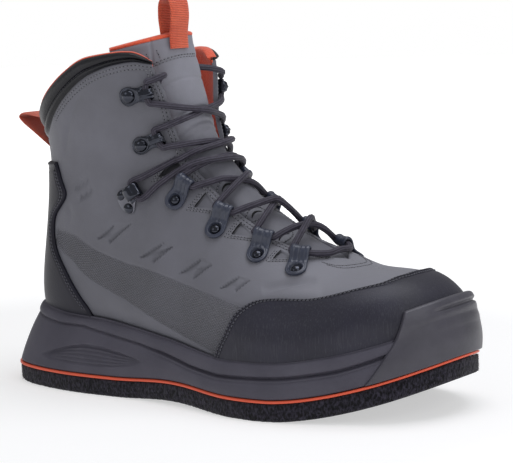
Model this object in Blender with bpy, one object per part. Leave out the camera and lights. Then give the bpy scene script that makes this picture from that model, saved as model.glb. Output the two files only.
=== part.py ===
"""Right wading boot: felt outsole, cupped midsole, hollow leather upper, tongue, collar, hooks and lace.

Frame: +X from heel to toe, +Y to the inner (medial) side, +Z up. The pieces are laid out from the heel end on the
floor and then moved back by HEEL_REST, so the finished origin is in the middle of the heel's flat face.
The last is a fan of plane sections from the toe feather line round to the collar. A place on it is a
share s along the fan and a turn in radians from the ridge, minus on the outer side and pi at the low line.
"""
from math import pi, radians

import bmesh
import bpy
from mathutils import Matrix
import numpy as np

# Driving sizes, in metres
SOLE_LENGTH = 0.313
HEEL_REST = 0.070
BALL_WIDTH = 0.1155
FORM_WIDTH = 0.102
SHAFT_RISE = 0.168
WALL = 0.0026
GAP = 0.0003
CUP_GAP = 0.0005
OVERLAY_GAP = 0.00065
INSOLE_GAP = 0.0018
LACE_GAP = 0.0006
FELT_THICKNESS = 0.010
LINE_THICKNESS = 0.0016
HEEL_CORE = 0.019
BALL_CORE = 0.0062
TOE_SPRING = 0.021
ARCH_LIFT = 0.002
RIM_RISE = 0.014
RIM_LIP = 0.003
GROOVE_DEPTH = 0.0015
OVERLAY_THICKNESS = 0.0013
BUMPER_THICKNESS = 0.0024
BUMPER_PROUD = 0.0018
BUMPER_RISE = 0.0125
COLLAR_PAD_OUT = 0.0018
COLLAR_PAD_IN = 0.0030
TONGUE_THICKNESS = 0.0042
TONGUE_CROWN = 0.0016
INSOLE_THICKNESS = 0.0035
LACE_DIAMETER = 0.0042
WEBBING_THICKNESS = 0.0016
HEEL_LOOP_WIDTH = 0.020
HEEL_LOOP_REACH = 0.024
TONGUE_LOOP_WIDTH = 0.013
TONGUE_LOOP_HEIGHT = 0.022
METAL_THICKNESS = 0.0013
LOOP_THICKNESS = 0.0015
LOOP_REACH = 0.0175
DISC_RADIUS = 0.0053
STRAP_HALF_WIDTH = 0.0041
RIVET_RADIUS = 0.0027
RIVET_HEIGHT = 0.0012

# Where the outsole leaves the floor, as shares of its length
ROLL_START, ROLL_POWER = 0.72, 1.75
ARCH_FROM, ARCH_TO = 0.34, 0.64
CORE_FROM, CORE_TO = 0.29, 0.655

# The sole seen from above, heel, outer side, toe, inner side: share of length, share of ball width
OUTLINE = (
    (0.006, 0.000), (0.022, -0.147), (0.058, -0.280), (0.121, -0.368), (0.240, -0.420), (0.383, -0.411),
    (0.524, -0.442), (0.655, -0.515), (0.767, -0.481), (0.863, -0.381), (0.936, -0.268), (0.984, -0.095),
    (0.998, 0.078), (0.985, 0.242), (0.946, 0.372), (0.879, 0.464), (0.783, 0.502), (0.687, 0.485),
    (0.575, 0.398), (0.447, 0.312), (0.319, 0.294), (0.217, 0.320), (0.121, 0.338), (0.045, 0.242),
)

# The last: low x and top x as shares of the sole length, rises over the footbed as shares of the shaft
# rise, centre, half width and ridge as shares of the form width, the widest place as a share of the
# section, and the powers of its lower and upper curves
SECTIONS = (
    # low x, rise, top x, rise, centre, half, ridge, widest, low power, top power
    (0.971, 0.000, 0.971, 0.000, 0.098, 0.000, 0.098, 0.50, 2.2, 2.0),
    (0.965, 0.000, 0.978, 0.055, 0.093, 0.122, 0.093, 0.50, 2.5, 2.0),
    (0.946, 0.000, 0.977, 0.130, 0.088, 0.220, 0.088, 0.45, 3.0, 2.1),
    (0.917, 0.000, 0.962, 0.200, 0.078, 0.304, 0.080, 0.42, 3.5, 2.2),
    (0.878, 0.000, 0.932, 0.266, 0.059, 0.378, 0.072, 0.40, 4.0, 2.3),
    (0.833, 0.000, 0.893, 0.312, 0.034, 0.446, 0.064, 0.38, 4.3, 2.3),
    (0.782, 0.000, 0.848, 0.336, 0.010, 0.486, 0.055, 0.36, 4.5, 2.3),
    (0.725, 0.000, 0.798, 0.357, -0.015, 0.500, 0.047, 0.35, 4.5, 2.2),
    (0.661, 0.000, 0.744, 0.394, -0.034, 0.485, 0.038, 0.34, 4.5, 2.2),
    (0.594, 0.000, 0.690, 0.424, -0.049, 0.451, 0.029, 0.34, 4.5, 2.1),
    (0.521, 0.000, 0.636, 0.458, -0.058, 0.412, 0.020, 0.35, 4.2, 2.1),
    (0.435, 0.000, 0.581, 0.510, -0.058, 0.378, 0.010, 0.38, 4.0, 2.1),
    (0.335, 0.000, 0.534, 0.582, -0.049, 0.358, 0.005, 0.42, 3.5, 2.2),
    (0.224, 0.000, 0.500, 0.668, -0.034, 0.353, 0.000, 0.45, 3.0, 2.2),
    (0.130, 0.000, 0.484, 0.752, -0.015, 0.360, 0.000, 0.48, 2.7, 2.3),
    (0.087, 0.080, 0.477, 0.812, 0.000, 0.370, 0.000, 0.50, 2.5, 2.3),
    (0.096, 0.245, 0.473, 0.866, 0.000, 0.380, 0.000, 0.50, 2.4, 2.3),
    (0.117, 0.437, 0.471, 0.914, 0.000, 0.392, 0.000, 0.50, 2.4, 2.3),
    (0.120, 0.634, 0.471, 0.955, 0.000, 0.402, 0.000, 0.50, 2.3, 2.3),
    (0.099, 0.812, 0.471, 0.997, 0.000, 0.407, 0.000, 0.50, 2.3, 2.3),
    (0.077, 0.979, 0.470, 1.086, 0.000, 0.412, 0.000, 0.50, 2.3, 2.3),
)

# Heights of the midsole rim over the footbed and of the groove on its side, by share of length
RIM = (
    (0.0, 1.50), (0.1, 1.25), (0.2, 1.00), (0.3, 0.93), (0.45, 0.80), (0.6, 0.85), (0.7, 0.92),
    (0.8, 1.0), (1.0, 1.04),
)
GROOVE = (
    (0.0, 0.87), (0.28, 0.87), (0.39, 0.80), (0.46, 0.71), (0.52, 0.58), (0.6, 0.45), (0.7, 0.46),
    (0.8, 0.53), (1.0, 0.65),
)
# The midsole side below and above the groove: share of that part's height, outward bulge in metres
SIDE_BELOW = ((0.0, 0.0), (0.1, 0.0008), (0.4, 0.0014), (0.75, 0.0009), (0.95, 0.0002))
SIDE_ABOVE = ((0.08, 0.0002), (0.25, 0.0009), (0.6, 0.0011), (0.9, 0.0006), (1.0, 0.0))

# Edges on the last: the throat's half opening by share s, and the collar by turn, in degrees
THROAT_START = 0.375
THROAT = (
    (0.375, 0), (0.385, 7), (0.42, 15), (0.48, 21), (0.56, 26), (0.65, 31), (0.75, 34), (0.85, 36),
    (0.95, 41), (1.0, 43),
)
COLLAR_TOP = (
    (0, 0.935), (41, 0.940), (47, 0.960), (54, 0.974), (67, 0.979), (87, 0.982), (104, 0.970), (120, 0.958),
    (135, 0.949), (180, 0.945),
)
COLLAR_LOW = (
    (0, 0.930), (41, 0.934), (45, 0.939), (54, 0.952), (70, 0.955), (88, 0.948), (103, 0.935), (116, 0.922),
    (134, 0.905), (180, 0.897),
)
# The toe overlay's edge seen from the side: x as a share of length, rise over the footbed by shaft rise
TOE_EDGE = (
    (0.602, 0.074), (0.613, 0.125), (0.638, 0.200), (0.654, 0.240), (0.684, 0.267), (0.741, 0.277),
    (0.795, 0.274), (0.850, 0.270), (0.890, 0.272), (0.907, 0.290), (0.914, 0.340), (1.020, 0.350),
)
# The heel counter's front edge: height over the rim as a share of the shaft rise, x as a share of length
COUNTER = (
    (0.0, 0.268), (0.107, 0.224), (0.208, 0.186), (0.256, 0.176), (0.339, 0.179),
    (0.381, 0.206), (0.429, 0.226), (0.488, 0.212), (0.540, 0.198),
)
# The tongue: share s, outer and inner edges in degrees, depth below the last's surface in metres
TONGUE = (
    (0.355, -9, 9, 0.0034), (0.42, -27, 27, 0.0034), (0.50, -34, 34, 0.0034), (0.60, -40, 36, 0.0036),
    (0.70, -44, 32, 0.0048), (0.80, -48, 24, 0.0078), (0.90, -52, 17, 0.0105), (0.985, -54, 12, 0.0125),
)
BOTTOM_OPENING = ((0.10, 0.70), 156)

# Lace hardware on both sides: share s and turn in degrees of each rivet, from the toe up
LOOPS = ((0.410, 33), (0.478, 38), (0.550, 43), (0.623, 49))
LOCK = (0.700, 68)
HOOKS = ((0.763, 56), (0.880, 58))


def smooth(rows, at):
    """Natural cubic curve through evenly spaced rows, read at shares 0 to 1."""
    rows = np.asarray(rows, float)
    n = len(rows)
    matrix, right = np.eye(n), np.zeros_like(rows)
    for i in range(1, n - 1):
        matrix[i, i - 1 : i + 2] = (1, 4, 1)
        right[i] = 6 * (rows[i - 1] - 2 * rows[i] + rows[i + 1])
    bends = np.linalg.solve(matrix, right)
    u = np.clip(np.asarray(at, float), 0, 1) * (n - 1)
    i = np.minimum(u.astype(int), n - 2)
    t = (u - i)[..., None]
    curve = ((1 - t) ** 3 - (1 - t)) * bends[i] + (t**3 - t) * bends[i + 1]
    return rows[i] * (1 - t) + rows[i + 1] * t + curve / 6


def around(rows, at):
    """Closed cubic curve through evenly spaced rows, read at shares of one turn."""
    rows = np.asarray(rows, float)
    n = len(rows)
    matrix = 4 * np.eye(n) + np.roll(np.eye(n), 1, 0) + np.roll(np.eye(n), -1, 0)
    right = 6 * (np.roll(rows, 1, 0) - 2 * rows + np.roll(rows, -1, 0))
    bends = np.linalg.solve(matrix, right)
    u = np.mod(np.asarray(at, float), 1) * n
    i = u.astype(int) % n
    j = (i + 1) % n
    t = (u - np.floor(u))[..., None]
    curve = ((1 - t) ** 3 - (1 - t)) * bends[i] + (t**3 - t) * bends[j]
    return rows[i] * (1 - t) + rows[j] * t + curve / 6


def read(table, at, column=1):
    """A column of a table read between its rows at values of its first column."""
    rows = np.asarray(table, float)
    return np.interp(at, rows[:, 0], rows[:, column])


def ease(v):
    v = np.clip(v, 0, 1)
    return v * v * (3 - 2 * v)


def unit(v):
    return v / (np.linalg.norm(v, axis=-1, keepdims=True) + 1e-12)


def ground(x):
    """Underside of the outsole: flat at heel and ball, lifted at the arch, sprung at the toe."""
    v = np.asarray(x, float) / SOLE_LENGTH
    roll = np.clip((v - ROLL_START) / (1 - ROLL_START), 0, None) ** ROLL_POWER * TOE_SPRING
    arch = np.sin(pi * np.clip((v - ARCH_FROM) / (ARCH_TO - ARCH_FROM), 0, 1)) ** 2 * ARCH_LIFT
    return roll + arch


def midsole_base(x):
    return ground(x) + FELT_THICKNESS + LINE_THICKNESS + 2 * GAP


def footbed(x):
    share = ease((np.asarray(x) / SOLE_LENGTH - CORE_FROM) / (CORE_TO - CORE_FROM))
    return midsole_base(x) + HEEL_CORE + (BALL_CORE - HEEL_CORE) * share


def rim_height(x):
    return footbed(x) + RIM_RISE * read(RIM, np.asarray(x) / SOLE_LENGTH)


def last(s, turn):
    """A point of the last: a superellipse in each section's own plane, at the polar angle turn."""
    row = smooth(SECTIONS, s)
    low_x, low_rise, top_x, top_rise, centre, half, ridge, widest, low_n, top_n = np.moveaxis(row, -1, 0)
    low_x, top_x = low_x * SOLE_LENGTH, top_x * SOLE_LENGTH
    bed = footbed(low_x)
    low_z, top_z = bed + low_rise * SHAFT_RISE, bed + top_rise * SHAFT_RISE
    c, v = np.cos(turn), np.sin(turn)
    n = np.where(c > 0, top_n, low_n)
    radius = (np.abs(c) ** n + np.abs(v) ** n) ** (-1 / n)
    height = np.where(c > 0, widest + (1 - widest) * radius * c, widest + widest * radius * c)
    lean = np.clip((height - widest) / (1 - widest), 0, 1) ** 1.5
    y = (centre + (ridge - centre) * lean + half * radius * v) * FORM_WIDTH
    return np.stack([low_x + (top_x - low_x) * height, y, low_z + (top_z - low_z) * height], -1)


def normal(s, turn):
    step = 1e-3
    s = np.clip(s, 2 * step, 1 - step)
    along = last(s + step, turn) - last(s - step, turn)
    across = last(s, turn + step) - last(s, turn - step)
    return unit(np.cross(across, along))


def skin(s, turn, grow=0.0):
    """The last's surface moved outwards by grow."""
    s, turn, grow = np.broadcast_arrays(np.asarray(s, float), np.asarray(turn, float), np.asarray(grow, float))
    return last(s, turn) + normal(s, turn) * grow[..., None]


def level(turn, height=0.0):
    """The share s at which the last stands height above the midsole rim, for each turn."""
    turn = np.asarray(turn, float)
    low, high = np.full(turn.shape, 0.01), np.full(turn.shape, 0.999)
    for _ in range(40):
        middle = (low + high) / 2
        point = last(middle, turn)
        above = point[..., 2] > rim_height(point[..., 0]) + height
        low, high = np.where(above, low, middle), np.where(above, middle, high)
    return (low + high) / 2


def outline(t, grow=0.0):
    size = np.array([SOLE_LENGTH, BALL_WIDTH])
    step = 1e-3
    ahead = (around(OUTLINE, np.asarray(t) + step) - around(OUTLINE, np.asarray(t) - step)) * size
    out = unit(np.stack([ahead[..., 1], -ahead[..., 0]], -1))
    return around(OUTLINE, t) * size + out * np.asarray(grow)[..., None], out


def lengths(points):
    """Share of its whole length at each point of a path."""
    steps = np.linalg.norm(np.diff(points, axis=0), axis=1)
    total = np.concatenate([[0], np.cumsum(steps)])
    return total / total[-1]


def rim_turn(w, height=0.0):
    """Turn on the last at share w of the way round, height above the rim: 0 heel, outer side, 0.5 toe."""
    turns = np.linspace(pi, 0, 721)
    s = level(turns, height)
    outer, inner = lengths(last(s, -turns)), lengths(last(s, turns))
    return np.where(w <= 0.5, -np.interp(2 * w, outer, turns), np.interp(2 - 2 * w, inner, turns))


def rim_outline(w):
    """Share t of the outline that lies below each place w of the rim."""
    t = np.linspace(0, 0.5, 361)
    outer, inner = lengths(outline(t, t * 0)[0]), lengths(outline(1 - t, t * 0)[0])
    return np.where(w <= 0.5, np.interp(2 * w, outer, t), 1 - np.interp(2 - 2 * w, inner, t))


def midsole_side(w, rows):
    """Grid of the midsole's outer side: a row for each (height share, bulge), a column for each w."""
    turn, t = rim_turn(w), rim_outline(w)
    base, out = outline(t, w * 0)
    rim = skin(level(turn), turn, RIM_LIP)
    bottom = midsole_base(base[:, 0])
    grid = []
    for share, bulge in rows:
        share = np.broadcast_to(share, w.shape)
        flat = base + (rim[:, :2] - base) * share[:, None] + out * np.broadcast_to(bulge, w.shape)[:, None]
        grid.append(np.column_stack([flat, bottom + (rim[:, 2] - bottom) * share]))
    return np.array(grid)


def side_rows(w, inset=0.0):
    """Height shares and bulges of the midsole side, with the groove where the photograph has it."""
    x = outline(rim_outline(w), w * 0)[0][:, 0] / SOLE_LENGTH
    groove = read(GROOVE, x)
    rows = [(groove * share, bulge - inset) for share, bulge in SIDE_BELOW]
    rows.append((groove, -GROOVE_DEPTH - inset))
    rows += [(groove + (1 - groove) * share, bulge - inset) for share, bulge in SIDE_ABOVE]
    return rows


def material(name, colour, roughness, metallic=0.0):
    made = bpy.data.materials.new(name)
    made.use_nodes = True
    shader = made.node_tree.nodes["Principled BSDF"]
    shader.inputs["Base Color"].default_value = (*colour, 1.0)
    shader.inputs["Roughness"].default_value = roughness
    shader.inputs["Metallic"].default_value = metallic
    made.diffuse_color = (*colour, 1.0)
    return made


def add(name, points, faces, finish):
    """An object from points and faces, with coincident points merged and its normals turned out."""
    mesh = bpy.data.meshes.new(name)
    mesh.from_pydata([tuple(map(float, p)) for p in points], [], [tuple(map(int, f)) for f in faces])
    work = bmesh.new()
    work.from_mesh(mesh)
    bmesh.ops.remove_doubles(work, verts=work.verts, dist=1e-6)
    bmesh.ops.recalc_face_normals(work, faces=work.faces)
    work.to_mesh(mesh)
    work.free()
    mesh.materials.append(finish)
    mesh.shade_smooth()
    mesh.set_sharp_from_angle(angle=radians(35))
    made = bpy.data.objects.new(name, mesh)
    bpy.context.scene.collection.objects.link(made)
    return made


def merged(grid):
    """The grid's quads on merged points, and the first grid place of each merged point."""
    flat = grid.reshape(-1, 3)
    _, first, place = np.unique(np.round(flat / 1e-6), axis=0, return_index=True, return_inverse=True)
    index = place.reshape(grid.shape[:2])
    quads = np.stack([index[:-1, :-1], index[:-1, 1:], index[1:, 1:], index[1:, :-1]], -1)
    return quads, first


def whole_faces(quads):
    """Quads with their repeated corners dropped, and those that collapsed left out."""
    faces = []
    for quad in quads.tolist():
        face = [p for i, p in enumerate(quad) if p != quad[i - 1]]
        if len(set(face)) > 2:
            faces.append(face)
    return faces


def shell(name, outside, inside, finish, keep=None):
    """A wall between two like grids, with every open edge of the first joined to the second."""
    quads, first = merged(outside)
    faces = whole_faces(quads.reshape(-1, 4) if keep is None else quads[keep])
    count = len(first)
    edges = {}
    for face in faces:
        for a, b in zip(face, face[1:] + face[:1]):
            edges[(a, b)] = edges.get((a, b), 0) + 1
    sides = [(b, a, a + count, b + count) for a, b in edges if (b, a) not in edges]
    backs = [[p + count for p in reversed(face)] for face in faces]
    points = np.concatenate([outside.reshape(-1, 3)[first], inside.reshape(-1, 3)[first]])
    return add(name, points, faces + backs + sides, finish)


def stack(name, rings, finish):
    """A closed solid from rings of points that run round it, capped by strips from side to side."""
    rings = np.asarray(rings)
    levels, count = rings.shape[:2]
    faces = []
    for k in range(levels - 1):
        for i in range(count):
            j = (i + 1) % count
            faces.append((k * count + i, k * count + j, (k + 1) * count + j, (k + 1) * count + i))
    for k in (0, levels - 1):
        for i in range(count // 2):
            strip = [i, i + 1, (count - i - 1) % count, (count - i) % count]
            strip = list(dict.fromkeys(k * count + p for p in strip))
            faces.append(strip)
    return add(name, rings.reshape(-1, 3), faces, finish)


def band(name, path, across, half_width, thickness, finish):
    """A flat strip of one thickness along a path, its width lying along the given direction."""
    path = np.asarray(path, float)
    half_width = np.broadcast_to(half_width, len(path))
    ahead = unit(np.gradient(path, axis=0))
    across = unit(np.broadcast_to(across, path.shape))
    up = unit(np.cross(ahead, across))
    corners = [(-1, -0.5), (1, -0.5), (1, 0.5), (-1, 0.5)]
    rings = np.array([path + across * (half_width * a)[:, None] + up * thickness * b for a, b in corners])
    count = len(path)
    faces = []
    for k in range(4):
        j = (k + 1) % 4
        for i in range(count - 1):
            faces.append((k * count + i, k * count + i + 1, j * count + i + 1, j * count + i))
    faces += [tuple(k * count for k in range(4)), tuple(k * count + count - 1 for k in range(4))]
    return add(name, rings.reshape(-1, 3), faces, finish)


def rounded(points, count):
    """Evenly spaced points on the smooth curve through a few hand-placed ones."""
    points = np.asarray(points, float)
    dense = smooth(points, np.linspace(0, 1, 40 * len(points)))
    share = lengths(dense)
    at = np.linspace(0, 1, count)
    return np.column_stack([np.interp(at, share, dense[:, k]) for k in range(3)])


def round_cord(name, path, diameter, finish):
    """A round cord along a path as a mesh of six-sided rings, for a cord that is joined to another."""
    path = np.asarray(path, float)
    ahead = unit(np.gradient(path, axis=0))
    side = unit(np.cross(ahead, (0.0, 0.0, 1.0)))
    up = np.cross(side, ahead)
    angles = np.arange(6) * pi / 3
    rings = np.array([path + (side * np.cos(a) + up * np.sin(a)) * diameter / 2 for a in angles])
    count = len(path)
    faces = [tuple(k * count for k in range(6)), tuple(k * count + count - 1 for k in range(6))]
    for k in range(6):
        j = (k + 1) % 6
        for i in range(count - 1):
            faces.append((k * count + i, k * count + i + 1, j * count + i + 1, j * count + i))
    return add(name, rings.reshape(-1, 3), faces, finish)


def tube(name, path, diameter, finish):
    """A round cord along a path, as a bevelled curve with filled caps."""
    curve = bpy.data.curves.new(name, "CURVE")
    curve.dimensions = "3D"
    curve.bevel_depth = diameter / 2
    curve.bevel_resolution = 2
    curve.use_fill_caps = True
    spline = curve.splines.new("POLY")
    spline.points.add(len(path) - 1)
    for point, at in zip(spline.points, path):
        point.co = (*map(float, at), 1.0)
    curve.materials.append(finish)
    made = bpy.data.objects.new(name, curve)
    bpy.context.scene.collection.objects.link(made)
    return made


def combine(made, other, operation):
    """A Boolean of one object with a hidden helper."""
    other.hide_render = True
    other.display_type = "WIRE"
    step = made.modifiers.new(operation.lower(), "BOOLEAN")
    step.operation = operation
    step.object = other
    step.solver = "EXACT"


def seat(s, degrees, side):
    """Frame of a fitting on the last: its foot, the way to the throat, the way up the boot, and outwards."""
    turn = radians(degrees) * side
    out = normal(np.float64(s), np.float64(turn))
    throat = last(np.float64(s), np.float64(turn - 0.02 * side)) - last(np.float64(s), np.float64(turn))
    throat = unit(throat - out * np.dot(throat, out))
    return last(np.float64(s), np.float64(turn)), throat, np.cross(out, throat), out


def local(frame, points):
    foot, throat, upward, out = frame
    points = np.asarray(points, float)
    return foot + points[:, :1] * throat + points[:, 1:2] * upward + points[:, 2:3] * out


def rivet(name, frame, at, base, finish):
    """A low round rivet head standing on a plate, as a helper to be joined to it."""
    angles = np.linspace(0, 2 * pi, 16, endpoint=False)
    rings = []
    for radius, height in ((1.0, base), (1.0, base + 0.5 * RIVET_HEIGHT), (0.55, base + RIVET_HEIGHT)):
        ring = np.column_stack([at[0] + radius * RIVET_RADIUS * np.cos(angles),
                                at[1] + radius * RIVET_RADIUS * np.sin(angles), np.full(16, height)])
        rings.append(local(frame, ring))
    faces = [tuple(range(16)), tuple(range(32, 48))]
    for k in range(2):
        for i in range(16):
            j = (i + 1) % 16
            faces.append((16 * k + i, 16 * k + j, 16 * k + 16 + j, 16 * k + 16 + i))
    return add(name, np.concatenate(rings), faces, finish)


for old in list(bpy.data.objects):
    bpy.data.objects.remove(old)

FELT = material("felt", (0.025, 0.024, 0.030), 0.95)
ORANGE = material("orange_rubber", (0.72, 0.09, 0.04), 0.5)
MIDSOLE = material("midsole_rubber", (0.060, 0.058, 0.068), 0.65)
LEATHER = material("grey_leather", (0.125, 0.128, 0.140), 0.6)
DARK = material("dark_leather", (0.030, 0.030, 0.038), 0.55)
WEBBING = material("orange_webbing", (0.70, 0.09, 0.05), 0.8)
METAL = material("gunmetal", (0.09, 0.09, 0.11), 0.35, 1.0)
MOULDED = material("moulded_loop", (0.055, 0.062, 0.090), 0.45)
LACE = material("lace", (0.075, 0.065, 0.080), 0.8)

# Sole unit: rings of the outline, from the floor up
W = np.arange(52) / 52


def sole_ring(grow, rise):
    flat, _ = outline(rim_outline(W), np.full(W.shape, grow))
    return np.column_stack([flat, ground(flat[:, 0]) + rise])


felt_rings = [(-0.0022, 0.0), (-0.0004, 0.0010), (0.0, 0.0030), (0.0, FELT_THICKNESS)]
stack("felt_outsole", [sole_ring(*ring) for ring in felt_rings], FELT)
line_low = FELT_THICKNESS + GAP
stack("sole_line", [sole_ring(0.0007, line_low), sole_ring(0.0007, line_low + LINE_THICKNESS)], ORANGE)

# Midsole cup: the block is hollowed by the last, and set back behind the toe bumper
BUMPER_SHARE = 0.060
BUMPER_FADE = 0.004


def bumper_inset(w):
    """Depth of the seat behind the bumper, for each place round the rim."""
    near = 1 - ease((np.abs(w - 0.5) - BUMPER_SHARE - 0.004) / BUMPER_FADE)
    return near * (BUMPER_THICKNESS + GAP - BUMPER_PROUD)


edge = BUMPER_SHARE + 0.004 + np.array([0.0, BUMPER_FADE])
around_w = np.unique(np.round(np.concatenate([W, 0.5 - edge, 0.5 + edge]), 6))
rings = midsole_side(around_w, side_rows(around_w, bumper_inset(around_w)))
midsole = stack("midsole", rings, MIDSOLE)

# The last as a solid, one gap larger than the upper, on the upper's own grid lines
THROAT_SHARE = 0.80
SHARES = np.concatenate([[0.0, 0.012, 0.03], np.linspace(0.06, THROAT_SHARE, 23), np.linspace(0.85, 1.0, 4)])
UPPER_TURNS = np.linspace(0, 1, 7)
LOWER_TURNS = np.radians([101, 112, 123, 134, 145, 156, 168, 180])


def grid_turns(start):
    """Turns of one half section, from its start at the throat or ridge down to the low line."""
    top = start + (radians(90) - start) * UPPER_TURNS
    return np.concatenate([top, LOWER_TURNS])


def closed_tip(grid):
    """The fan's first section drawn to one point, where it closes at the toe."""
    grid[0] = grid[0].mean(axis=0)
    return grid


def last_grid(shares, grow):
    turns = grid_turns(0.0)
    both = np.concatenate([-turns[::-1], turns[1:]])
    s, turn = np.meshgrid(shares, both, indexing="ij")
    return closed_tip(skin(s, turn, grow))


def last_solid(name, grow):
    """The last as a closed body, grown outwards: a helper that cuts the cup and the overlays."""
    grid = last_grid(SHARES, grow)
    quads, first = merged(grid)
    faces = whole_faces(quads.reshape(-1, 4))
    points = grid.reshape(-1, 3)[first]
    near = [int(np.argmin(np.abs(points - p).sum(axis=1))) for p in grid[-1][:-1]]
    return add(name, points, faces + [near], MIDSOLE)


hollow = last_solid("last_hollow", CUP_GAP)
combine(midsole, hollow, "DIFFERENCE")

# Upper: one hollow wall, open at the collar, the throat and the bottom
(OPEN_FROM, OPEN_TO), OPEN_TURN = BOTTOM_OPENING


def upper_grid(grow):
    rows = []
    for s in SHARES:
        start = radians(float(read(THROAT, s))) if s > THROAT_START else 0.0
        turns = grid_turns(start)
        both = np.concatenate([-turns[::-1], turns])
        lift = np.clip((s - THROAT_SHARE) / (1 - THROAT_SHARE), 0, 1)
        top = read(COLLAR_LOW, np.abs(np.degrees(both)))
        share = np.where(lift > 0, THROAT_SHARE + (top - THROAT_SHARE) * lift, s)
        rows.append(skin(share, both, grow))
    return closed_tip(np.array(rows))


outer_wall, inner_wall = upper_grid(0.0), upper_grid(-WALL)
half = len(UPPER_TURNS) + len(LOWER_TURNS)
column = np.arange(2 * half - 1)
row = np.arange(len(SHARES) - 1)
beside = np.minimum(column, 2 * half - 2 - column)
flank = beside < np.count_nonzero(LOWER_TURNS >= radians(OPEN_TURN) - 1e-9) - 1
foot = (SHARES[:-1] >= OPEN_FROM - 1e-9) & (SHARES[1:] <= OPEN_TO + 1e-9)
keep = ~(foot[:, None] & flank[None, :])
keep &= ~((SHARES[:-1] >= THROAT_START)[:, None] & (column == half - 1)[None, :])
shell("upper", outer_wall, inner_wall, LEATHER, keep)

# Insole: it rests on the upper's lasted edge, inside the wall


def insole_ring(rise):
    """Where a level plane over the footbed meets the inside of the upper, one clearance in."""
    turns = np.linspace(pi, 0, 361)
    inset = WALL + INSOLE_GAP
    low, high = np.full(turns.shape, 0.01), level(turns)
    for _ in range(40):
        middle = (low + high) / 2
        point = skin(middle, turns, -inset)
        above = point[..., 2] > footbed(point[..., 0]) + rise
        low, high = np.where(above, low, middle), np.where(above, middle, high)
    places = np.linspace(0, 1, 27)
    halves = []
    for side in (-1, 1):
        line = skin(high, side * turns, -inset)
        share = lengths(line)
        halves.append(np.column_stack([np.interp(places, share, line[:, k]) for k in range(3)]))
    flat = np.concatenate([halves[0], halves[1][-2:0:-1]])[:, :2]
    return np.column_stack([flat, footbed(flat[:, 0]) + rise])


insole_low = WALL + INSOLE_GAP + GAP
insole_rises = (insole_low, insole_low + 0.3 * INSOLE_THICKNESS, insole_low + INSOLE_THICKNESS)
stack("insole", [insole_ring(rise) for rise in insole_rises], DARK)

# Overlays: what a side-on outline cuts between two larger forms of the last
OVERLAY_REACH = 0.8 * FORM_WIDTH


def overlay(name, edge, finish):
    """A leather piece over the upper, cut to an outline of (x, z) points seen from the side."""
    made = last_solid(name, OVERLAY_GAP + OVERLAY_THICKNESS)
    made.data.materials[0] = finish
    count = len(edge)
    points = [(x, side * OVERLAY_REACH, z) for side in (-1, 1) for x, z in edge]
    faces = [tuple(range(count)), tuple(range(2 * count - 1, count - 1, -1))]
    faces += [(i, (i + 1) % count, count + (i + 1) % count, count + i) for i in range(count)]
    combine(made, add(name + "_outline", points, faces, finish), "INTERSECT")
    combine(made, last_solid(name + "_core", OVERLAY_GAP), "DIFFERENCE")


def rim_points(low_x, high_x, count):
    """Points just over the midsole rim, from the heel end forward."""
    x = np.linspace(low_x, high_x, count)
    return list(zip(x, rim_height(x) + GAP))


def over(base, share, rise):
    """An (x, z) point at a share of length, a share of the shaft rise over the footbed or the rim."""
    x = share * SOLE_LENGTH
    return x, float(base(x)) + rise * SHAFT_RISE


toe_top = [over(footbed, x, rise) for x, rise in TOE_EDGE]
toe_low = rim_points(TOE_EDGE[0][0] * SOLE_LENGTH, TOE_EDGE[-1][0] * SOLE_LENGTH, 14)
overlay("toe_overlay", toe_low + toe_top[::-1], DARK)
counter_top = [over(rim_height, x, rise) for rise, x in COUNTER]
counter_low = rim_points(0.01, COUNTER[0][1] * SOLE_LENGTH, 8)
back = [(0.0, counter_top[-1][1] - 0.004), (0.0, float(rim_height(0.0)) + GAP)]
overlay("heel_counter", counter_low + counter_top[1:] + back, DARK)

# Toe bumper: its lower part stands on the midsole side, its upper part lies on the toe overlay
near_toe = around_w[np.abs(around_w - 0.5) < BUMPER_SHARE - 0.002]
bumper_w = np.concatenate([[0.5 - BUMPER_SHARE], near_toe, [0.5 + BUMPER_SHARE]])
seat_rows = side_rows(bumper_w, BUMPER_THICKNESS - BUMPER_PROUD)
face_rows = [(share, bulge + BUMPER_THICKNESS) for share, bulge in seat_rows]
del seat_rows[5], face_rows[5]
seat_rows[0] = (seat_rows[0][0] + 0.015, seat_rows[0][1])
face_rows[0] = (face_rows[0][0] + 0.015, face_rows[0][1])
climb = [0.0022] + [share * BUMPER_RISE for share in (0.45, 0.75, 1.0)]
climb_turn = np.array([rim_turn(bumper_w, height) for height in climb])
climb_s = np.array([level(turn, height) for turn, height in zip(climb_turn, climb)])
seat_rise = 3 * OVERLAY_GAP + OVERLAY_THICKNESS
body = BUMPER_THICKNESS * np.array([1.0, 1.0, 0.9, 0.6])[:, None]
above_out, above_in = skin(climb_s, climb_turn, seat_rise + body), skin(climb_s, climb_turn, seat_rise)
bumper_out = np.concatenate([midsole_side(bumper_w, face_rows[:-1]), above_out])
bumper_in = np.concatenate([midsole_side(bumper_w, seat_rows[:-1]), above_in])
shell("toe_bumper", bumper_out, bumper_in, MIDSOLE)

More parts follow.
